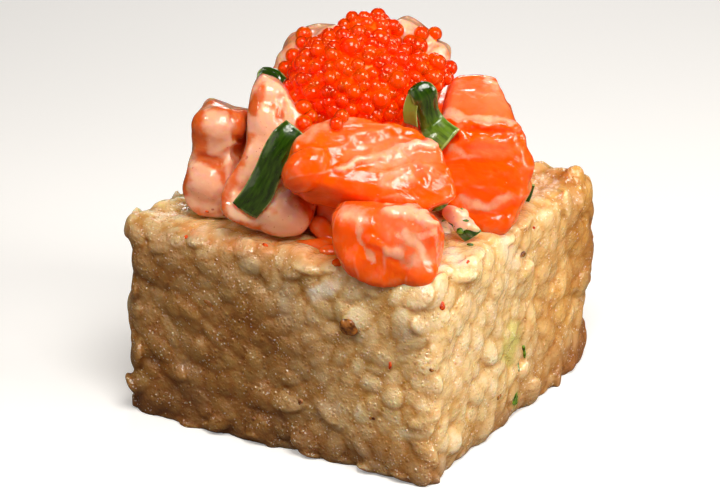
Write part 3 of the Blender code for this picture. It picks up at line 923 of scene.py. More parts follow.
# Each die: its node, the angles of its cut, the way its flakes run and its share of creamy sauce. What the
# photograph shows is laid on it: outline, lumps, and strokes of pale flesh that are partly painted sheen,
# fat, ridge, groove, sauce and flesh that the sauce leaves bare.
dice = {
    "salmonFrontUpper": dict(
        node="salmon_front_upper", turn=(38, 9, 31), grain="y", cream=0.0,
        outline=((312, 127), (330, 118), (360, 112), (398, 116), (413, 129), (428, 142), (440, 150),
                 (450, 167), (462, 186), (457, 195), (436, 205), (406, 215), (375, 224), (352, 225),
                 (333, 220), (318, 211), (303, 199), (286, 187), (277, 167), (284, 151), (298, 136)),
        lumps=[((300, 168), (3.4, 2.4, 2.2), 20, 0.8), ((430, 180), (3.4, 2.4, 2.2), 30, 1.4)],
        pale=[(24, 0.95, [(362, 148), (395, 150), (425, 156)]), (14, 0.8, [(385, 180), (425, 172)])],
        fat=[(9, 0.7, [(338, 171), (365, 160), (400, 149), (436, 143)])],
        ridge=[(8, 0.5, [(340, 170), (365, 160), (400, 149), (438, 143)]),
               (6, 0.35, [(350, 140), (385, 127), (405, 124)]),
               (7, 0.3, [(380, 176), (420, 166), (445, 168)])],
        groove=[(7, 0.35, [(350, 150), (395, 137), (425, 133)]), (6, 0.3, [(405, 152), (425, 185)])],
        sauce=[(12, 0.4, [(303, 137), (325, 124), (350, 120)]), (17, 0.65, [(375, 162), (408, 158)]),
               (11, 0.6, [(385, 180), (412, 178)])]),
    "salmonFrontLower": dict(
        node="salmon_front_lower", turn=(-6, 2, 16), grain="x", cream=0.0,
        outline=((331, 214), (336, 253), (348, 276), (370, 284), (398, 288), (425, 290), (434, 277),
                 (440, 260), (442, 236), (438, 222), (420, 208), (395, 195), (340, 195)),
        pale=[(24, 0.9, [(388, 222), (415, 232), (420, 255)]), (12, 0.7, [(345, 214), (360, 228)])],
        fat=[(5, 0.7, [(360, 216), (358, 232), (368, 250), (373, 262)]),
             (6, 0.7, [(398, 236), (420, 238), (434, 232)]),
             (4, 0.5, [(405, 237), (424, 252), (431, 268)]),
             (5, 0.5, [(430, 226), (436, 240), (437, 256)])],
        ridge=[(8, 0.5, [(388, 212), (415, 214), (434, 224)]), (6, 0.3, [(372, 240), (400, 255)])],
        groove=[(8, 0.15, [(378, 222), (395, 232)])],
        lumps=[((352, 262), (2.2, 2.0, 1.6), 0, 0.9), ((425, 276), (2.4, 1.8, 1.6), 0, 0.9),
               ((430, 232), (1.6, 2.0, 1.6), 0, 0.9)],
        sauce=[(11, 0.95, [(390, 211), (415, 213), (432, 222)]), (11, 0.7, [(345, 214), (362, 218)]),
               (8, 0.8, [(404, 232), (420, 244), (428, 262)]),
               (6, 0.65, [(358, 218), (360, 235), (372, 255)]), (14, 0.5, [(395, 248), (412, 262)])]),
    "salmonRight": dict(
        node="salmon_right", turn=(-4, 4, 26), grain="z", cream=0.0,
        outline=((459, 77), (475, 73), (492, 72), (496, 77), (497, 87), (503, 99), (510, 110), (514, 125),
                 (522, 131), (528, 139), (534, 153), (536, 173), (532, 187), (519, 205), (513, 221),
                 (506, 231), (497, 238), (489, 238), (481, 230), (472, 220), (460, 211), (446, 203),
                 (425, 190), (420, 150), (430, 110), (440, 86)),
        lumps=[((527, 165), (2.2, 3.0, 2.2), 0, 1.2)],
        pale=[(24, 0.85, [(450, 98), (480, 98), (502, 104)]),
              (12, 0.6, [(470, 203), (490, 208), (510, 200)]), (15, 0.8, [(480, 148), (502, 150)])],
        fat=[(6, 0.75, [(443, 116), (465, 121), (490, 123), (512, 124)]),
             (4, 0.7, [(488, 76), (494, 84)]), (3, 0.4, [(452, 92), (480, 98), (505, 94)])],
        ridge=[(6, 0.35, [(446, 118), (470, 125), (495, 128), (518, 127)]),
               (7, 0.3, [(470, 140), (500, 142), (515, 138)])],
        groove=[(6, 0.3, [(468, 132), (500, 134)]), (6, 0.4, [(474, 214), (500, 214), (515, 206)]),
                (15, 2.2, [(448, 218), (456, 232), (462, 240)]), (10, 1.3, [(526, 225), (520, 238)])],
        sauce=[(9, 0.65, [(462, 200), (485, 206), (508, 198)]),
               (9, 0.35, [(446, 88), (480, 84), (500, 92)]),
               (7, 0.75, [(446, 113), (470, 119), (500, 121)]), (5, 0.8, [(486, 76), (494, 84)]),
               (8, 0.45, [(452, 148), (470, 156)])]),
    "salmonLeftTall": dict(
        node="salmon_left_tall", turn=(-20, 4, 22), grain="z", cream=1.0,
        outline=((262, 74), (254, 84), (249, 94), (247, 107), (248, 127), (249, 145), (243, 163),
                 (230, 178), (222, 195), (221, 208), (226, 216), (247, 227), (267, 237), (280, 239),
                 (292, 237), (303, 231), (312, 215), (325, 180), (320, 125), (303, 112), (292, 104),
                 (286, 92), (278, 84), (268, 78)),
        lumps=[((283, 212), (4.6, 3.2, 2.6), 0, 1.2), ((240, 222), (3.4, 2.2, 2.4), -10, 1.4),
               ((266, 92), (2.2, 1.8, 2.0), 0, 1.2), ((262, 118), (2.6, 3.4, 2.2), 0, 1.5)],
        groove=[(6, 0.45, [(285, 95), (278, 112), (285, 128)]),
                (5, 0.3, [(300, 150), (300, 175), (280, 190)])],
        bare=[(9, 0.95, [(262, 90), (257, 99), (254, 112)]), (7, 0.6, [(272, 108), (279, 114)]),
              (9, 0.8, [(250, 135), (246, 150), (238, 172), (224, 195), (225, 212)]),
              (11, 0.9, [(303, 196), (312, 222)]), (8, 0.8, [(228, 220), (250, 228), (270, 236)]),
              (5, 0.5, [(265, 208), (275, 212)])]),
    "salmonLeft": dict(
        node="salmon_left", turn=(-5, 2, 20), grain="z", cream=0.95,
        outline=((202, 98), (208, 98), (222, 104), (232, 108), (247, 109), (265, 112), (265, 220),
                 (222, 218), (208, 215), (197, 212), (189, 206), (184, 197), (182, 187), (184, 177),
                 (188, 166), (190, 156), (193, 146), (192, 133), (190, 118), (193, 109), (197, 102)),
        lumps=[((205, 184), (3.2, 3.0, 2.6), 0, 1.5), ((216, 128), (3.6, 2.8, 2.6), 10, 1.7)],
        groove=[(8, 0.5, [(192, 158), (215, 162), (238, 150)]), (5, 0.4, [(232, 112), (236, 140)])],
        bare=[(12, 0.95, [(241, 110), (242, 140), (244, 158)]),
              (13, 0.9, [(199, 106), (197, 125), (199, 150)]), (9, 0.8, [(207, 101), (232, 109)]),
              (8, 0.6, [(198, 158), (215, 163)]), (7, 0.6, [(186, 165), (186, 195)]),
              (8, 0.6, [(220, 165), (226, 195), (222, 210)]), (6, 0.5, [(195, 209), (215, 213)])]),
    "salmonBackLeft": dict(
        node="salmon_back_left", turn=(6, -20, 28), grain="z", cream=0.95,
        outline=((275, 57), (283, 50), (286, 42), (293, 31), (302, 25), (330, 26), (342, 26), (348, 32),
                 (355, 120), (250, 120), (262, 75)),
        lumps=[((300, 40), (2.6, 2.2, 2.0), 30, 1.0), ((330, 32), (2.6, 1.6, 2.0), 0, 1.0),
               ((291, 58), (3.0, 3.0, 2.4), 0, 1.6), ((286, 72), (2.4, 2.4, 2.2), 0, 1.6)],
        bare=[(12, 0.35, [(285, 45), (300, 30)])]),
    "salmonBackRight": dict(
        node="salmon_back_right", turn=(-4, 24, 24), grain="x", cream=0.85,
        outline=((392, 24), (407, 17), (417, 17), (423, 23), (429, 32), (434, 43), (445, 44), (451, 47),
                 (453, 55), (457, 63), (456, 72), (450, 85), (440, 120), (350, 120), (360, 30)),
        groove=[(5, 0.5, [(438, 40), (428, 52)])],
        bare=[(6, 0.6, [(422, 20), (425, 34)]), (6, 0.6, [(450, 52), (455, 68)])]),
    "salmonRearLeft": dict(node="salmon_rear_left", turn=(-6, 4, -16), grain="z", cream=0.8),
    "salmonRearRight": dict(node="salmon_rear_right", turn=(6, -6, 16), grain="y", cream=0.0),
    "salmonMiddle": dict(node="salmon_middle", turn=(0, 5, 12), grain="z", cream=0.0),
    "salmonCentre": dict(node="salmon_centre", turn=(0, 0, 8), grain="z", cream=0.3),
}
dieStrokes = ("ridge", "groove", "bare", "sauce", "fat", "pale")


def makeSalmonFinish():
    made, tree, shader = newMaterial("salmonFlesh", salmon["flesh"])
    where = coordinates(tree)
    flake, cream, fat = (attribute(tree, key) for key in ("flake", "cream", "fat"))
    cloud = noiseNode(tree, where, *salmon["cloud"])
    # Pink flesh in noise patches and along the pale strokes, which are partly painted sheen
    pinkShare = plus(tree, attribute(tree, "pale"), ramp(tree, cloud, *salmon["cloudPale"]), clamp=True)
    colour = blendColour(tree, pinkShare, salmon["orange"], salmon["pink"])
    # Pale fat between the flakes
    cycle = calc(tree, "FRACT", calc(tree, "DIVIDE", flake, salmon["flakeSpacing"]))
    away = calc(tree, "ABSOLUTE", calc(tree, "SUBTRACT", cycle, 0.5))
    line = times(tree, ramp(tree, away, salmon["lineWidth"], 0.0), patchy(tree, where, *salmon["lineBreaks"]))
    colour = blendColour(tree, times(tree, line, salmon["lineShare"]), colour, salmon["fat"])
    ragged = calc(tree, "SUBTRACT", noiseNode(tree, where, *salmon["ragged"]), 0.5)
    fatShare = ramp(tree, plus(tree, fat, times(tree, ragged, salmon["fatRagged"])), *salmon["fatEdge"])
    colour = blendColour(tree, times(tree, fatShare, ramp(tree, fat, 0.0, 0.2)), colour, salmon["fat"])
    # Sauce over the flesh: thin where it has run off, opaque where it pools
    colour = blendColour(tree, attribute(tree, "sauced"), colour, salmon["underSauce"])
    smear = times(tree, noiseNode(tree, where, *salmon["lumps"]), salmon["lumpSmear"])
    smear = plus(tree, smear, times(tree, ragged, salmon["raggedSmear"]))
    smear = plus(tree, smear, ramp(tree, attribute(tree, "crest"), *salmon["crestSmear"]))
    thick = calc(tree, "SUBTRACT", plus(tree, cream, smear), salmon["bareBelow"])
    colour = blendColour(tree, ramp(tree, thick, *salmon["thinEdge"]), colour, salmon["thinCream"])
    colour = blendColour(tree, ramp(tree, thick, *salmon["creamEdge"]), colour, salmon["cream"])
    spots, dots = (placed(tree, specks, salmon[key]).outputs["Mask"] for key in ("spots", "dots"))
    spotted = calc(tree, "MAXIMUM", spots, times(tree, dots, salmon["dotShare"]))
    onFlesh, onSauce = salmon["speckled"]
    speckShare = times(tree, spotted, plus(tree, times(tree, thick, onSauce), onFlesh))
    speckShare = times(tree, speckShare, salmon["speckShare"])
    paint(tree, shader, blendColour(tree, speckShare, colour, salmon["speck"]))
    # Fibres run with the flakes, and the sauce fills them
    along, across = salmon["fibreScale"]
    shift = addNode(tree, "ShaderNodeCombineXYZ", {0: times(tree, flake, across)}).outputs[0]
    links = {0: scaledBy(tree, where, along), 1: shift}
    run = addNode(tree, "ShaderNodeVectorMath", links, operation="ADD").outputs[0]
    fibres = times(tree, noiseNode(tree, run, *salmon["fibres"]), ramp(tree, thick, *salmon["fibreFade"]))
    skinShare, fibreShare = salmon["relief"]
    height = times(tree, wetSkin(tree, shader, salmon), skinShare)
    height = plus(tree, height, times(tree, fibres, fibreShare))
    bumpInto(tree, shader, height, salmon["bump"])
    return made


def flakeField(points, spec):
    # Distance along the cut's chosen axis, bent into the shallow waves that muscle has
    centre = sum(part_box(spec["node"]), Vector()) / 2
    turn = Euler([math.radians(a) for a in spec["turn"]]).to_matrix()
    local = (points - np.array(centre)) @ np.array(turn) / mm
    first = "xyz".index(spec["grain"])
    bow = sum(share * local[:, (first + step) % 3] ** 2 for step, share in enumerate(salmon["bow"], 1))
    size, depth = salmon["flakeWander"]
    return local[:, first] + bow + depth * noiseAt(points, size)


def buildDie(name, spec, finish):
    solid = mergedCopy(spec["node"])
    lumps = lumpsOn(surfaceTree(solid), spec.get("lumps", ()))
    mesh = fused(joinedMesh(name + "Raw", (solid, lumps)), salmon["voxel"])
    if "outline" in spec:
        movePoints(mesh, trimmed(pointsOf(mesh), spec["outline"]))
        mesh = fused(mesh, salmon["voxel"])
    edges = edgesOf(mesh)
    points = smoothed(pointsOf(mesh), edges, salmon["outlineSteps"])
    movePoints(mesh, points)
    normals = normalsOf(mesh)
    places = brushPlaces(points, normals)
    share = {key: strokeShare(places, spec.get(key, ())) for key in dieStrokes}
    flake = flakeField(points, spec)
    seam = 1 - rise(np.abs((flake / salmon["flakeSpacing"]) % 1.0 - 0.5), 0.0, salmon["flakeSeam"])
    lift = salmon["swell"] + (1 - spec["cream"]) * salmon["flakeDepth"] * seam
    lift += sum(height * noiseAt(points, size) for size, height in salmon["waves"])
    lift += share["ridge"] - share["groove"]
    points = points + normals * (lift * mm)[:, None]
    movePoints(mesh, points)
    sauced = spec["cream"] > salmon["saucedFrom"]
    values = {
        "flake": flake,
        "cream": np.maximum(spec["cream"] - salmon["bareDepth"] * share["bare"], share["sauce"]),
        "crest": proudOf(points, normalsOf(mesh), edges, salmon["crestSteps"]),
        "sauced": np.full(len(points), salmon["sauced"] * sauced),
        "fat": share["fat"],
        "pale": share["pale"],
    }
    for key, found in values.items():
        addValues(mesh, key, found)
    return showPiece(name, mesh, finish, (spec["node"],)).data


# Fish roe
roe = {
    "eggRadius": 0.98,
    "spacing": 1.5,
    "layers": 2,
    "heart": 0.54,  # size of the dark middle against the egg
    "loose": 1.08,  # size of the eggs that lie on top
    "looseLift": 0.45,
    "seed": 3,
    "bigShare": 1.35,
    "voxel": 0.5,
    "inset": 0.55,  # share of an egg's radius that the jelly stays under the humps below
    "clear": 0.5,  # no eggs grow where the mound is nearer a die than this
    "density": 2000000.0,
    "sizes": (0.86, 1.08),
    "lifts": (-0.6, 0.1),  # in egg radii, for the lowest layer
    "layerLift": 0.3,
    "looseSizes": (0.88, 0.22),  # least and spread
    "looseStep": 0.618,  # from one loose egg to the next, as a share of that spread
    "eggDetail": 2,
    "eggPoints": 42,
    "moundDetail": 4,
}
roeHumps = (  # centre and half sizes: the mound, its side lobe and its crest
    ((0.2, -3.2, 44.4), (9.2, 8.6, 7.4)),
    ((8.2, 0.8, 46.2), (3.4, 3.2, 2.8)),
    ((0.2, 0.2, 50.8), (3.9, 3.5, 2.4)),
)
looseEggs = (  # pixels of the eggs that stand out in the photograph
    (302, 45), (294, 57), (290, 80), (305, 65), (292, 95), (297, 101), (319, 53), (323, 104), (315, 93),
    (342, 67), (331, 79), (344, 39), (390, 28), (389, 19), (377, 19), (364, 17), (351, 18), (420, 35),
    (409, 41), (417, 48), (432, 36), (436, 65), (447, 67), (422, 69), (432, 77), (443, 77), (435, 83),
    (383, 62), (358, 67), (362, 78), (385, 73), (343, 100), (335, 108), (321, 115), (336, 126),
    (388, 112), (307, 117), (302, 124), (370, 117), (342, 119), (359, 35), (397, 31), (304, 37),
    (287, 68), (305, 80), (301, 110), (318, 68), (328, 92), (366, 106), (330, 40), (309, 58), (400, 100),
    (412, 78), (354, 92), (369, 55), (399, 62), (406, 94), (351, 108), (312, 104), (333, 57), (404, 52),
)
bigEggs = ((351, 50), (379, 42), (395, 81), (379, 98), (417, 47))
roeFinishes = {  # patch: the noise's scale and detail, and its edges
    "eggShell": dict(patch=(0.35, 2.0, 0.35, 0.65), colours=((1.0, 0.11, 0.0), (1.0, 0.27, 0.0)), shader={
        "Roughness": 0.03, "IOR": 1.40, "Specular IOR Level": 0.5, "Transmission Weight": 0.85,
    }),
    # Painted glow: the hearts emit light of their own
    "eggHeart": dict(patch=(0.8, 2.0, 0.3, 0.7), colours=((0.62, 0.010, 0.0), (1.0, 0.07, 0.0)), shader={
        "Roughness": 0.5, "Emission Color": (1.0, 0.05, 0.0, 1.0), "Emission Strength": 0.32,
    }),
    # Painted glow: the jelly emits light, seen between and through the eggs
    "roeJelly": dict(patch=(0.6, 3.0, 0.35, 0.65), colours=((0.95, 0.05, 0.0), (1.0, 0.16, 0.002)), shader={
        "Roughness": 0.25, "Emission Strength": 0.55, "Subsurface Weight": 0.5,
        "Subsurface Radius": (1.0, 0.2, 0.05), "Subsurface Scale": 1.5 * mm,
    }, paintedGlow=True),
}


def makeEggTree():
    tree, given, end = newTree("heapEggs", ("Egg Radius", "Spacing", "Share", "Lift Low", "Lift High"))
    bare = addNode(tree, "GeometryNodeInputNamedAttribute", {"Name": "bare"}, data_type="FLOAT").outputs[0]
    spread = addNode(tree, "GeometryNodeDistributePointsOnFaces", {
        "Mesh": given["Geometry"], "Distance Min": given["Spacing"], "Density Max": roe["density"],
        "Density Factor": bare, "Seed": given["Seed"],
    }, distribute_method="POISSON")
    egg = addNode(tree, "GeometryNodeMeshIcoSphere", {"Radius": 1.0, "Subdivisions": roe["eggDetail"]})
    size = times(tree, given["Egg Radius"], chanceValue(tree, *roe["sizes"], 2))
    laid = addNode(tree, "GeometryNodeInstanceOnPoints", {
        "Points": spread.outputs["Points"], "Instance": egg.outputs["Mesh"],
        "Rotation": spread.outputs["Rotation"], "Scale": times(tree, size, given["Share"]),
    })
    lift = times(tree, given["Egg Radius"], chanceValue(tree, given["Lift Low"], given["Lift High"], 3))
    moved = addNode(tree, "GeometryNodeTranslateInstances", {
        "Instances": laid.outputs[0], "Translation": scaledBy(tree, spread.outputs["Normal"], lift),
        "Local Space": False,
    })
    return endTree(tree, given, moved.outputs[0], end)


def makeRoeFinish(name):
    spec = roeFinishes[name]
    made, tree, shader = newMaterial(name, spec["shader"])
    tint = blendColour(tree, patchy(tree, coordinates(tree), *spec["patch"]), *spec["colours"])
    paint(tree, shader, tint)
    # Painted glow: the finish emits its own colour
    if spec.get("paintedGlow"):
        tree.links.new(tint, shader.inputs["Emission Color"])
    return made


def eggsAt(tree, share):
    # The eggs that stand out, each on whatever lies under its pixel
    half = roe["eggRadius"] * share * roe["loose"]
    sink = -roe["looseLift"] * roe["eggRadius"]
    least, spread = roe["looseSizes"]
    sizes = [half * (least + spread * (i * roe["looseStep"] % 1)) for i in range(len(looseEggs))]
    sizes += [half * roe["bigShare"]] * len(bigEggs)
    pixels = (*looseEggs, *bigEggs)
    return lumpsOn(tree, [(pixel, (size,) * 3, 0, sink) for pixel, size in zip(pixels, sizes)])


def buildRoe(solids):
    solidTree = surfaceTree(*solids)
    bm = bmesh.new()
    for centre, half in roeHumps:
        inner = [h - roe["eggRadius"] * roe["inset"] for h in half]
        addEgg(bm, Vector(centre) * mm, inner, roe["moundDetail"])
    mound = fused(meshFrom(bm, "humps"), roe["voxel"])
    bare = []
    for p in pointsOf(mound).tolist():
        spot, out, _, length = solidTree.find_nearest(Vector(p))
        inside = (Vector(p) - spot).dot(out) < 0
        bare.append(0.0 if inside or length < roe["clear"] * mm else 1.0)
    addValues(mound, "bare", bare)
    under = surfaceTree(mound, *solids)
    tree = makeEggTree()
    least, most = roe["lifts"]
    for name, share, finishName in (("roeEggs", 1.0, "eggShell"), ("roeHearts", roe["heart"], "eggHeart")):
        finish = makeRoeFinish(finishName)
        layers = []
        for layer in range(roe["layers"]):
            raised = layer * roe["layerLift"]
            layers.append(grown(mound, tree, {
                "Egg Radius": roe["eggRadius"] * mm, "Spacing": roe["spacing"] * mm,
                "Lift Low": least + raised, "Lift High": most + raised, "Share": share,
                "Seed": roe["seed"] + layer, "Finish": finish,
            }))
        print(name, sum(len(mesh.vertices) for mesh in layers) // roe["eggPoints"] + len(looseEggs))
        layers.append(eggsAt(under, share))
        replaced = ("roe",) if name == "roeEggs" else ()
        showPiece(name, joinedMesh(name + "Raw", layers), finish, replaced)
    showPiece("roeMound", mound, makeRoeFinish("roeJelly"))


# Scallion strips. Each is drawn by rungs from one end to the other: its two edges in the photograph's
# pixels, and how far in millimetres the rung stands towards the camera from its CAD node.
scallion = {
    "wall": 0.75,
    "rows": 44,
    "columns": 14,
    "dark": (0.009, 0.030, 0.001),
    "light": (0.07, 0.17, 0.006),
    # paler green of the one end, partly painted sheen
    "paleAndSheen": (0.15, 0.27, 0.02),
    "inside": (0.17, 0.17, 0.02),
    "rim": (0.36, 0.46, 0.14),
    "square": 0.5,  # power that squares off the round section
    "sideRim": (0.86, 1.0),
    "endRim": (0.965, 1.0),
    "paleAndSheenFrom": (0.5, 0.85),  # the paler end, partly painted sheen, as shares of the length
    "nearby": 3.0,  # pixels over which the node's depth is averaged
    "veinScale": (5.0, 0.25),  # across and along
    "veins": (1.6, 2.0),
    "lightVeins": (0.3, 0.8, 0.0, 0.45),
    "paleAndSheenVeins": (0.25, 0.6, 0.3, 0.9),
    "insideFrom": (0.35, 0.75),
    "rimBreaks": (0.8, 2.0, 0.3, 0.6),
    "relief": (0.3, 0.5),  # shares of the veins and of the wet relief in the bump
    "skin": {"Size": 0.5, "Patch Size": 1.8},
    "gloss": (0.08, 0.22),
    "bump": 0.09,
    "flesh": {
        "Subsurface Weight": 0.25, "Subsurface Radius": (0.5, 1.0, 0.2), "Subsurface Scale": 0.6 * mm,
        "IOR": 1.5, "Specular IOR Level": 0.8,
    },
}
strips = {
    "scallionLeft": dict(node="scallion_left", bulge=0.5, rungs=(
        ((286, 120), (304, 135), 0.9), ((274, 130), (297, 147), 1.3), ((264, 146), (288, 161), 1.4),
        ((255, 167), (280, 180), 1.5), ((244, 187), (272, 200), 1.6), ((233, 202), (257, 218), 1.7))),
    "scallionRight": dict(node="scallion_right", bulge=0.5, paleAndSheen=0.8, rungs=(
        ((404, 122), (418, 127), -1.6), ((403, 109), (417, 111), -1.4), ((408, 94), (424, 83), -0.4),
        ((413, 103), (436, 88), 0.9), ((418, 119), (438, 106), 0.6), ((422, 134), (444, 117), 0.2),
        ((431, 146), (452, 124), 0.2), ((441, 152), (460, 129), 0.5))),
    "scallionBack": dict(node="scallion_back", bulge=0.4, rungs=(
        ((256, 82), (258, 72), 1.0), ((263, 77), (264, 67), 1.6), ((273, 80), (277, 69), 2.0),
        ((281, 89), (286, 77), 2.0), ((287, 98), (294, 86), 2.0))),
    "scallionCorner": dict(node="scallion_corner", bulge=0.3, rungs=(
        ((449, 214), (459, 208), -0.2), ((452, 226), (466, 216), 0.2), ((458, 235), (474, 224), 0.2),
        ((464, 241), (481, 230), -0.1))),
    "scallionFarRight": dict(node="scallion_far_right", bulge=0.2, rungs=(
        ((521, 206), (526, 208), 0.0), ((525, 196), (531, 198), 0.0), ((529, 184), (535, 185), 0.0))),
}


def makeScallionFinish():
    made, tree, shader = newMaterial("scallionSkin", scallion["flesh"])
    across, along = (times(tree, attribute(tree, key), scale)
                     for key, scale in zip(("across", "along"), scallion["veinScale"]))
    lengthwise = addNode(tree, "ShaderNodeCombineXYZ", {0: across, 1: along}).outputs[0]
    veins = noiseNode(tree, lengthwise, *scallion["veins"])
    lightShare = ramp(tree, veins, *scallion["lightVeins"])
    colour = blendColour(tree, lightShare, scallion["dark"], scallion["light"])
    # Paler green towards one end, partly painted sheen
    paleAndSheenShare = times(tree, attribute(tree, "paleAndSheen"), ramp(tree, veins, *scallion["paleAndSheenVeins"]))
    colour = blendColour(tree, paleAndSheenShare, colour, scallion["paleAndSheen"])
    insideShare = ramp(tree, attribute(tree, "depth"), *scallion["insideFrom"])
    colour = blendColour(tree, insideShare, colour, scallion["inside"])
    rimShare = times(tree, attribute(tree, "rim"), patchy(tree, coordinates(tree), *scallion["rimBreaks"]))
    paint(tree, shader, blendColour(tree, rimShare, colour, scallion["rim"]))
    veinShare, skinShare = scallion["relief"]
    height = times(tree, wetSkin(tree, shader, scallion), skinShare)
    height = plus(tree, height, times(tree, veins, veinShare))
    bumpInto(tree, shader, height, scallion["bump"])
    return made


def depthNear(node, pixel):
    # How far from the camera the node's solid is round a pixel
    points = pointsOf(nodes[node].data)
    away = np.linalg.norm(photoPixels(points) - np.array(pixel), axis=1)
    weight = 1 / (away ** 2 + scallion["nearby"] ** 2) ** 2
    return float((depthOf(points) * weight).sum() / weight.sum())


def curveThrough(stops, count):
    # A smooth line of count points through the stops
    stops = [np.array(s, dtype=float) for s in stops]
    padded = [2 * stops[0] - stops[1], *stops, 2 * stops[-1] - stops[-2]]
    line = []
    for i in range(count):
        place = i / (count - 1) * (len(stops) - 1)
        k = min(int(place), len(stops) - 2)
        t = place - k
        a, b, c, d = padded[k:k + 4]
        bend, twist = 2 * a - 5 * b + 4 * c - d, 3 * b - a - 3 * c + d
        line.append((2 * b + (c - a) * t + bend * t ** 2 + twist * t ** 3) / 2)
    return np.array(line)


def squared(value):
    # Pushes a sine or cosine outwards, so that a round section turns flat with round edges
    return math.copysign(abs(value) ** scallion["square"], value)


def stripEdges(spec):
    # The strip's two long edges in space, through the rungs
    stops = [[], []]
    for *ends, near in spec["rungs"]:
        middle = [(ends[0][i] + ends[1][i]) / 2 for i in range(2)]
        depth = depthNear(spec["node"], middle) - near * mm
        for side, pixel in zip(stops, ends):
            side.append(cameraPlace + rayThrough(pixel) * depth)
    return [curveThrough(side, scallion["rows"] + 1) for side in stops]


def buildStrip(name, spec, finish):
    # A closed ribbon with round edges: rings of points round its section, one after another
    rows, around = scallion["rows"], 2 * scallion["columns"]
    left, right = stripEdges(spec)
    middle, width = (left + right) / 2, right - left
    out = np.cross(width, np.gradient(middle, axis=0))
    out /= np.linalg.norm(out, axis=1)[:, None]
    out *= math.copysign(1.0, out[rows * 2 // 3] @ np.array(cameraBack))  # the skin is on the camera's side
    run = np.concatenate(([0.0], np.cumsum(np.linalg.norm(np.diff(middle, axis=0), axis=1)))) / mm
    ends = np.arange(rows + 1) / rows
    paleAndSheenAlong = spec.get("paleAndSheen", 0.0) * rise(ends, *scallion["paleAndSheenFrom"])
    endRim = rise(np.abs(ends - 0.5) * 2, *scallion["endRim"])
    points = []
    values = {key: [] for key in ("across", "along", "depth", "rim", "paleAndSheen")}
    for row in range(rows + 1):
        for step in range(around):
            angle = 2 * math.pi * step / around
            flat, top = squared(math.cos(angle)) / 2, squared(math.sin(angle))
            lift = top * scallion["wall"] / 2 + spec["bulge"] * (0.5 - 2 * flat * flat)
            points.append(middle[row] + width[row] * flat + out[row] * lift * mm)
            # The cut rim shows the pale flesh: along both edges and at both ends
            rim = max(float(rise(abs(flat) * 2, *scallion["sideRim"])), endRim[row])
            found = (flat, run[row], 0.5 - top / 2, rim, paleAndSheenAlong[row])
            for kept, value in zip(values.values(), found):
                kept.append(value)
    faces = []
    for row in range(rows):
        for step in range(around):
            a, b = row * around + step, row * around + (step + 1) % around
            faces.append((a, b, b + around, a + around))
    faces.append(tuple(range(around))[::-1])
    faces.append(tuple(range(rows * around, (rows + 1) * around)))
    bm = bmesh.new()
    bm.from_mesh(meshOf(name + "Raw", points, faces))
    bmesh.ops.recalc_face_normals(bm, faces=bm.faces)
    mesh = meshFrom(bm, name)
    for key, found in values.items():
        addValues(mesh, key, found)
    return showPiece(name, mesh, finish, (spec["node"],)).data


# Small bits on the rice and in the creamy corner under the right-hand die: pixel, half sizes, angle, sink
crumbs = {
    "brownFlakes": dict(slot="sauced_salmon", dark=(0.10, 0.025, 0.004), light=(0.42, 0.15, 0.025), bits=(
        ((348, 328), (1.35, 1.15, 0.45), -40, 0.1), ((209, 304), (1.0, 0.35, 0.2), -25, 0.05),
        ((499, 397), (0.5, 0.35, 0.2), 0, 0.05), ((254, 419), (0.4, 0.25, 0.15), 0, 0.05),
        ((300, 402), (0.5, 0.3, 0.15), 60, 0.05), ((523, 254), (0.6, 0.4, 0.25), 20, 0.05),
        ((433, 370), (0.5, 0.2, 0.15), -30, 0.05), ((372, 418), (0.4, 0.3, 0.15), 10, 0.05))),
    "chilliBits": dict(slot="sauced_salmon", dark=(0.40, 0.02, 0.003), light=(0.85, 0.10, 0.008), bits=(
        ((442, 306), (0.5, 0.65, 0.3), 30, 0.1), ((390, 367), (0.18, 0.75, 0.2), 0, 0.05),
        ((549, 390), (0.7, 0.5, 0.3), 0, 0.0), ((186, 237), (0.35, 0.3, 0.2), 0, 0.05),
        ((265, 245), (0.4, 0.3, 0.2), 0, 0.05), ((207, 212), (0.35, 0.25, 0.2), 0, 0.05),
        ((534, 228), (0.3, 0.25, 0.2), 0, 0.05), ((468, 262), (0.25, 0.25, 0.15), 0, 0.05))),
    "herbBits": dict(slot="scallion", dark=(0.02, 0.07, 0.002), light=(0.16, 0.32, 0.02), bits=(
        ((515, 400), (0.8, 1.3, 0.3), -10, 0.1), ((524, 352), (0.25, 1.3, 0.2), 10, 0.0),
        ((518, 366), (0.8, 0.22, 0.2), 50, 0.0), ((440, 207), (1.2, 0.55, 0.22), 25, 0.0),
        ((447, 213), (0.5, 1.5, 0.22), -25, 0.0), ((453, 221), (0.55, 1.4, 0.22), 25, 0.0),
        ((445, 222), (0.4, 0.9, 0.2), -10, 0.0), ((459, 213), (1.0, 0.4, 0.2), 30, 0.0),
        ((458, 228), (0.4, 1.0, 0.2), 40, 0.0), ((464, 221), (0.7, 0.4, 0.2), -20, 0.0),
        ((470, 245), (0.5, 0.3, 0.2), 0, 0.0))),
}
crumbLook = {
    "crumple": (0.8, 0.22),  # size and depth of the unevenness
    "patch": (1.6, 3.0, 0.35, 0.65),
    "skin": {"Size": 0.5, "Patch Size": 1.0},
    "gloss": (0.15, 0.35),
    "bump": 0.12,
    "flesh": {
        "Subsurface Weight": 0.3, "Subsurface Radius": (1.0, 0.5, 0.2), "Subsurface Scale": 0.5 * mm,
        "IOR": 1.5,
    },
}
sauceLumps = (
    ((443, 209), (1.6, 1.2, 0.7), 0, 0.3), ((450, 214), (1.6, 1.2, 0.7), 0, 0.3),
    ((450, 224), (1.6, 1.5, 0.8), 0, 0.4), ((444, 230), (1.5, 0.8, 0.6), 0, 0.3),
    ((458, 216), (1.6, 1.1, 0.7), 20, 0.3), ((460, 225), (1.2, 1.1, 0.6), 0, 0.4),
    ((474, 228), (1.2, 0.6, 0.4), -20, 0.2), ((466, 222), (1.2, 0.9, 0.5), 0, 0.3),
)
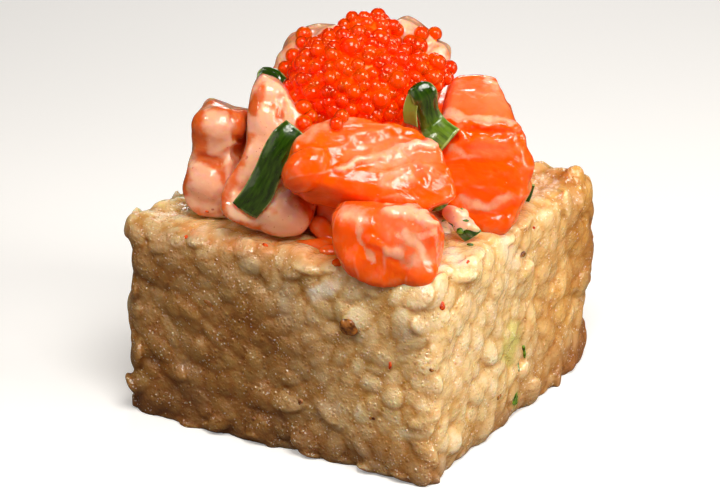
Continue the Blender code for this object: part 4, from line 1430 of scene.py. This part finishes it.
juiceLumps = (
    ((330, 236), (2.2, 1.6, 1.2), 0, 0.2), ((322, 244), (2.6, 1.1, 0.8), 0, 0.2),
    ((332, 250), (1.8, 1.2, 0.8), 0, 0.2), ((308, 243), (2.2, 0.8, 0.6), 0, 0.2),
    ((338, 262), (1.0, 1.2, 0.5), 0, 0.1), ((320, 226), (1.6, 1.6, 1.2), 0, 0.2),
)


pools = {  # wet blobs: their lumps, voxel, smoothing steps and share of cream
    "cornerSauce": dict(lumps=sauceLumps, voxel=0.2, steps=8, cream=1.3, slot="sauced_salmon"),
    "fishJuice": dict(lumps=juiceLumps, voxel=0.25, steps=10, cream=0.2, slot="salmon"),
}


def makeCrumbFinish(name, dark, light):
    made, tree, shader = newMaterial(name, crumbLook["flesh"])
    share = patchy(tree, coordinates(tree), *crumbLook["patch"])
    paint(tree, shader, blendColour(tree, share, dark, light))
    bumpInto(tree, shader, wetSkin(tree, shader, crumbLook), crumbLook["bump"])
    return made


def crumpled(mesh, size, depth):
    # Uneven lumps rather than smooth eggs
    points = pointsOf(mesh)
    points += normalsOf(mesh) * (noiseAt(points, size) * depth * mm)[:, None]
    movePoints(mesh, points)
    return mesh


def buildCrumbs(tree, fleshFinish):
    for name, spec in crumbs.items():
        mesh = crumpled(lumpsOn(tree, spec["bits"]), *crumbLook["crumple"])
        showPiece(name, mesh, makeCrumbFinish(name, spec["dark"], spec["light"]))
    for name, spec in pools.items():
        mesh = fused(lumpsOn(tree, spec["lumps"]), spec["voxel"])
        movePoints(mesh, smoothed(pointsOf(mesh), edgesOf(mesh), spec["steps"]))
        for key in ("cream", "fat", "pale", "flake", "crest", "sauced"):
            addValues(mesh, key, np.full(len(mesh.vertices), spec.get(key, 0.0)))
        showPiece(name, mesh, fleshFinish)


# Studio
studio = {
    "reach": 1.5,  # metres from the middle of the floor to its sides
    "floorRoughness": 0.7,
    "air": (1.0, 0.98, 0.95),
    "floor": (0.86, 0.85, 0.83),
    "floorBounce": (0.14, 0.105, 0.07),  # what the floor throws back on the food
    "floorGlow": 0.25,
    "airStrength": 0.025,
    "backdrop": 0.98,  # what the camera sees beyond the floor
    "aim": (0.0, 0.0, 0.042),
    "lights": (  # name, direction from the food, distance in metres, size in metres, watts, colour
        ("softbox", (0.42, -0.46, 0.78), 0.23, 0.12, 0.62, (1.0, 0.97, 0.93)),
        ("sideWindow", (0.97, 0.12, 0.34), 0.40, 0.20, 1.25, (1.0, 0.95, 0.88)),
        ("frontFill", (-0.30, -0.90, 0.25), 0.45, 0.30, 0.26, (1.0, 0.88, 0.74)),
        ("leftGlint", (-0.55, -0.52, 0.66), 0.45, 0.06, 0.38, (1.0, 0.93, 0.84)),
        ("rightGlint", (0.45, 0.84, 0.30), 0.45, 0.07, 0.22, (1.0, 0.97, 0.92)),
        ("backGlint", (-0.45, 0.80, 0.42), 0.45, 0.10, 0.30, (1.0, 0.97, 0.95)),
    ),
}


def buildStudio():
    reach = studio["reach"]
    corners = [(x * reach, y * reach, 0) for x, y in ((-1, -1), (1, -1), (1, 1), (-1, 1))]
    floor = meshOf("floor", corners, [(0, 1, 2, 3)])
    made, tree, shader = newMaterial("paleFloor", {"Roughness": studio["floorRoughness"]})
    path = addNode(tree, "ShaderNodeLightPath")
    tint = blendColour(tree, path.outputs["Is Camera Ray"], studio["floorBounce"], studio["floor"])
    paint(tree, shader, tint)
    glow = times(tree, path.outputs["Is Camera Ray"], studio["floorGlow"])
    tree.links.new(glow, shader.inputs["Emission Strength"])
    floor.materials.append(made)
    ground = bpy.data.objects.new("floor", floor)
    bpy.context.scene.collection.objects.link(ground)
    aim = Vector(studio["aim"])
    for name, direction, distance, size, watts, colour in studio["lights"]:
        lamp = bpy.data.lights.new(name, "AREA")
        lamp.energy, lamp.size, lamp.color = watts, size, colour
        holder = bpy.data.objects.new(name, lamp)
        toward = Vector(direction).normalized()
        holder.location = aim + toward * distance
        holder.rotation_mode = "QUATERNION"
        holder.rotation_quaternion = (-toward).to_track_quat("-Z", "Y")
        bpy.context.scene.collection.objects.link(holder)
    world = bpy.data.worlds.new("softAir")
    world.use_nodes = True
    tree = world.node_tree
    path = addNode(tree, "ShaderNodeLightPath")
    span = studio["backdrop"] - studio["airStrength"]
    strength = plus(tree, times(tree, path.outputs["Is Camera Ray"], span), studio["airStrength"])
    tree.links.new(strength, tree.nodes["Background"].inputs["Strength"])
    tree.nodes["Background"].inputs["Color"].default_value = (*studio["air"], 1.0)
    bpy.context.scene.world = world
    bpy.context.scene.view_settings.view_transform = "Standard"


def buildCamera():
    lens = bpy.data.cameras.new("photoCamera")
    lens.sensor_width = photo["sensor"]
    lens.lens = photo["focal"] * photo["sensor"] / photo["width"]
    lens.clip_start = photo["clip"] * mm
    camera = bpy.data.objects.new("photoCamera", lens)
    camera.location = cameraPlace
    camera.rotation_mode = "QUATERNION"
    camera.rotation_quaternion = (-cameraBack).to_track_quat("-Z", "Y")
    bpy.context.scene.collection.objects.link(camera)
    bpy.context.scene.camera = camera


buildStudio()
buildCamera()
print("studio ready")
riceMesh = buildRice()
print("rice ready")
fleshFinish = makeSalmonFinish()
dieMeshes = [buildDie(name, spec, fleshFinish) for name, spec in dice.items()]
print("salmon ready")
stripFinish = makeScallionFinish()
stripMeshes = [buildStrip(name, spec, stripFinish) for name, spec in strips.items()]
print("scallion ready")
buildCrumbs(surfaceTree(riceMesh, *dieMeshes, *stripMeshes), fleshFinish)
print("crumbs ready")
buildRoe([*dieMeshes, *stripMeshes])
print("roe ready")
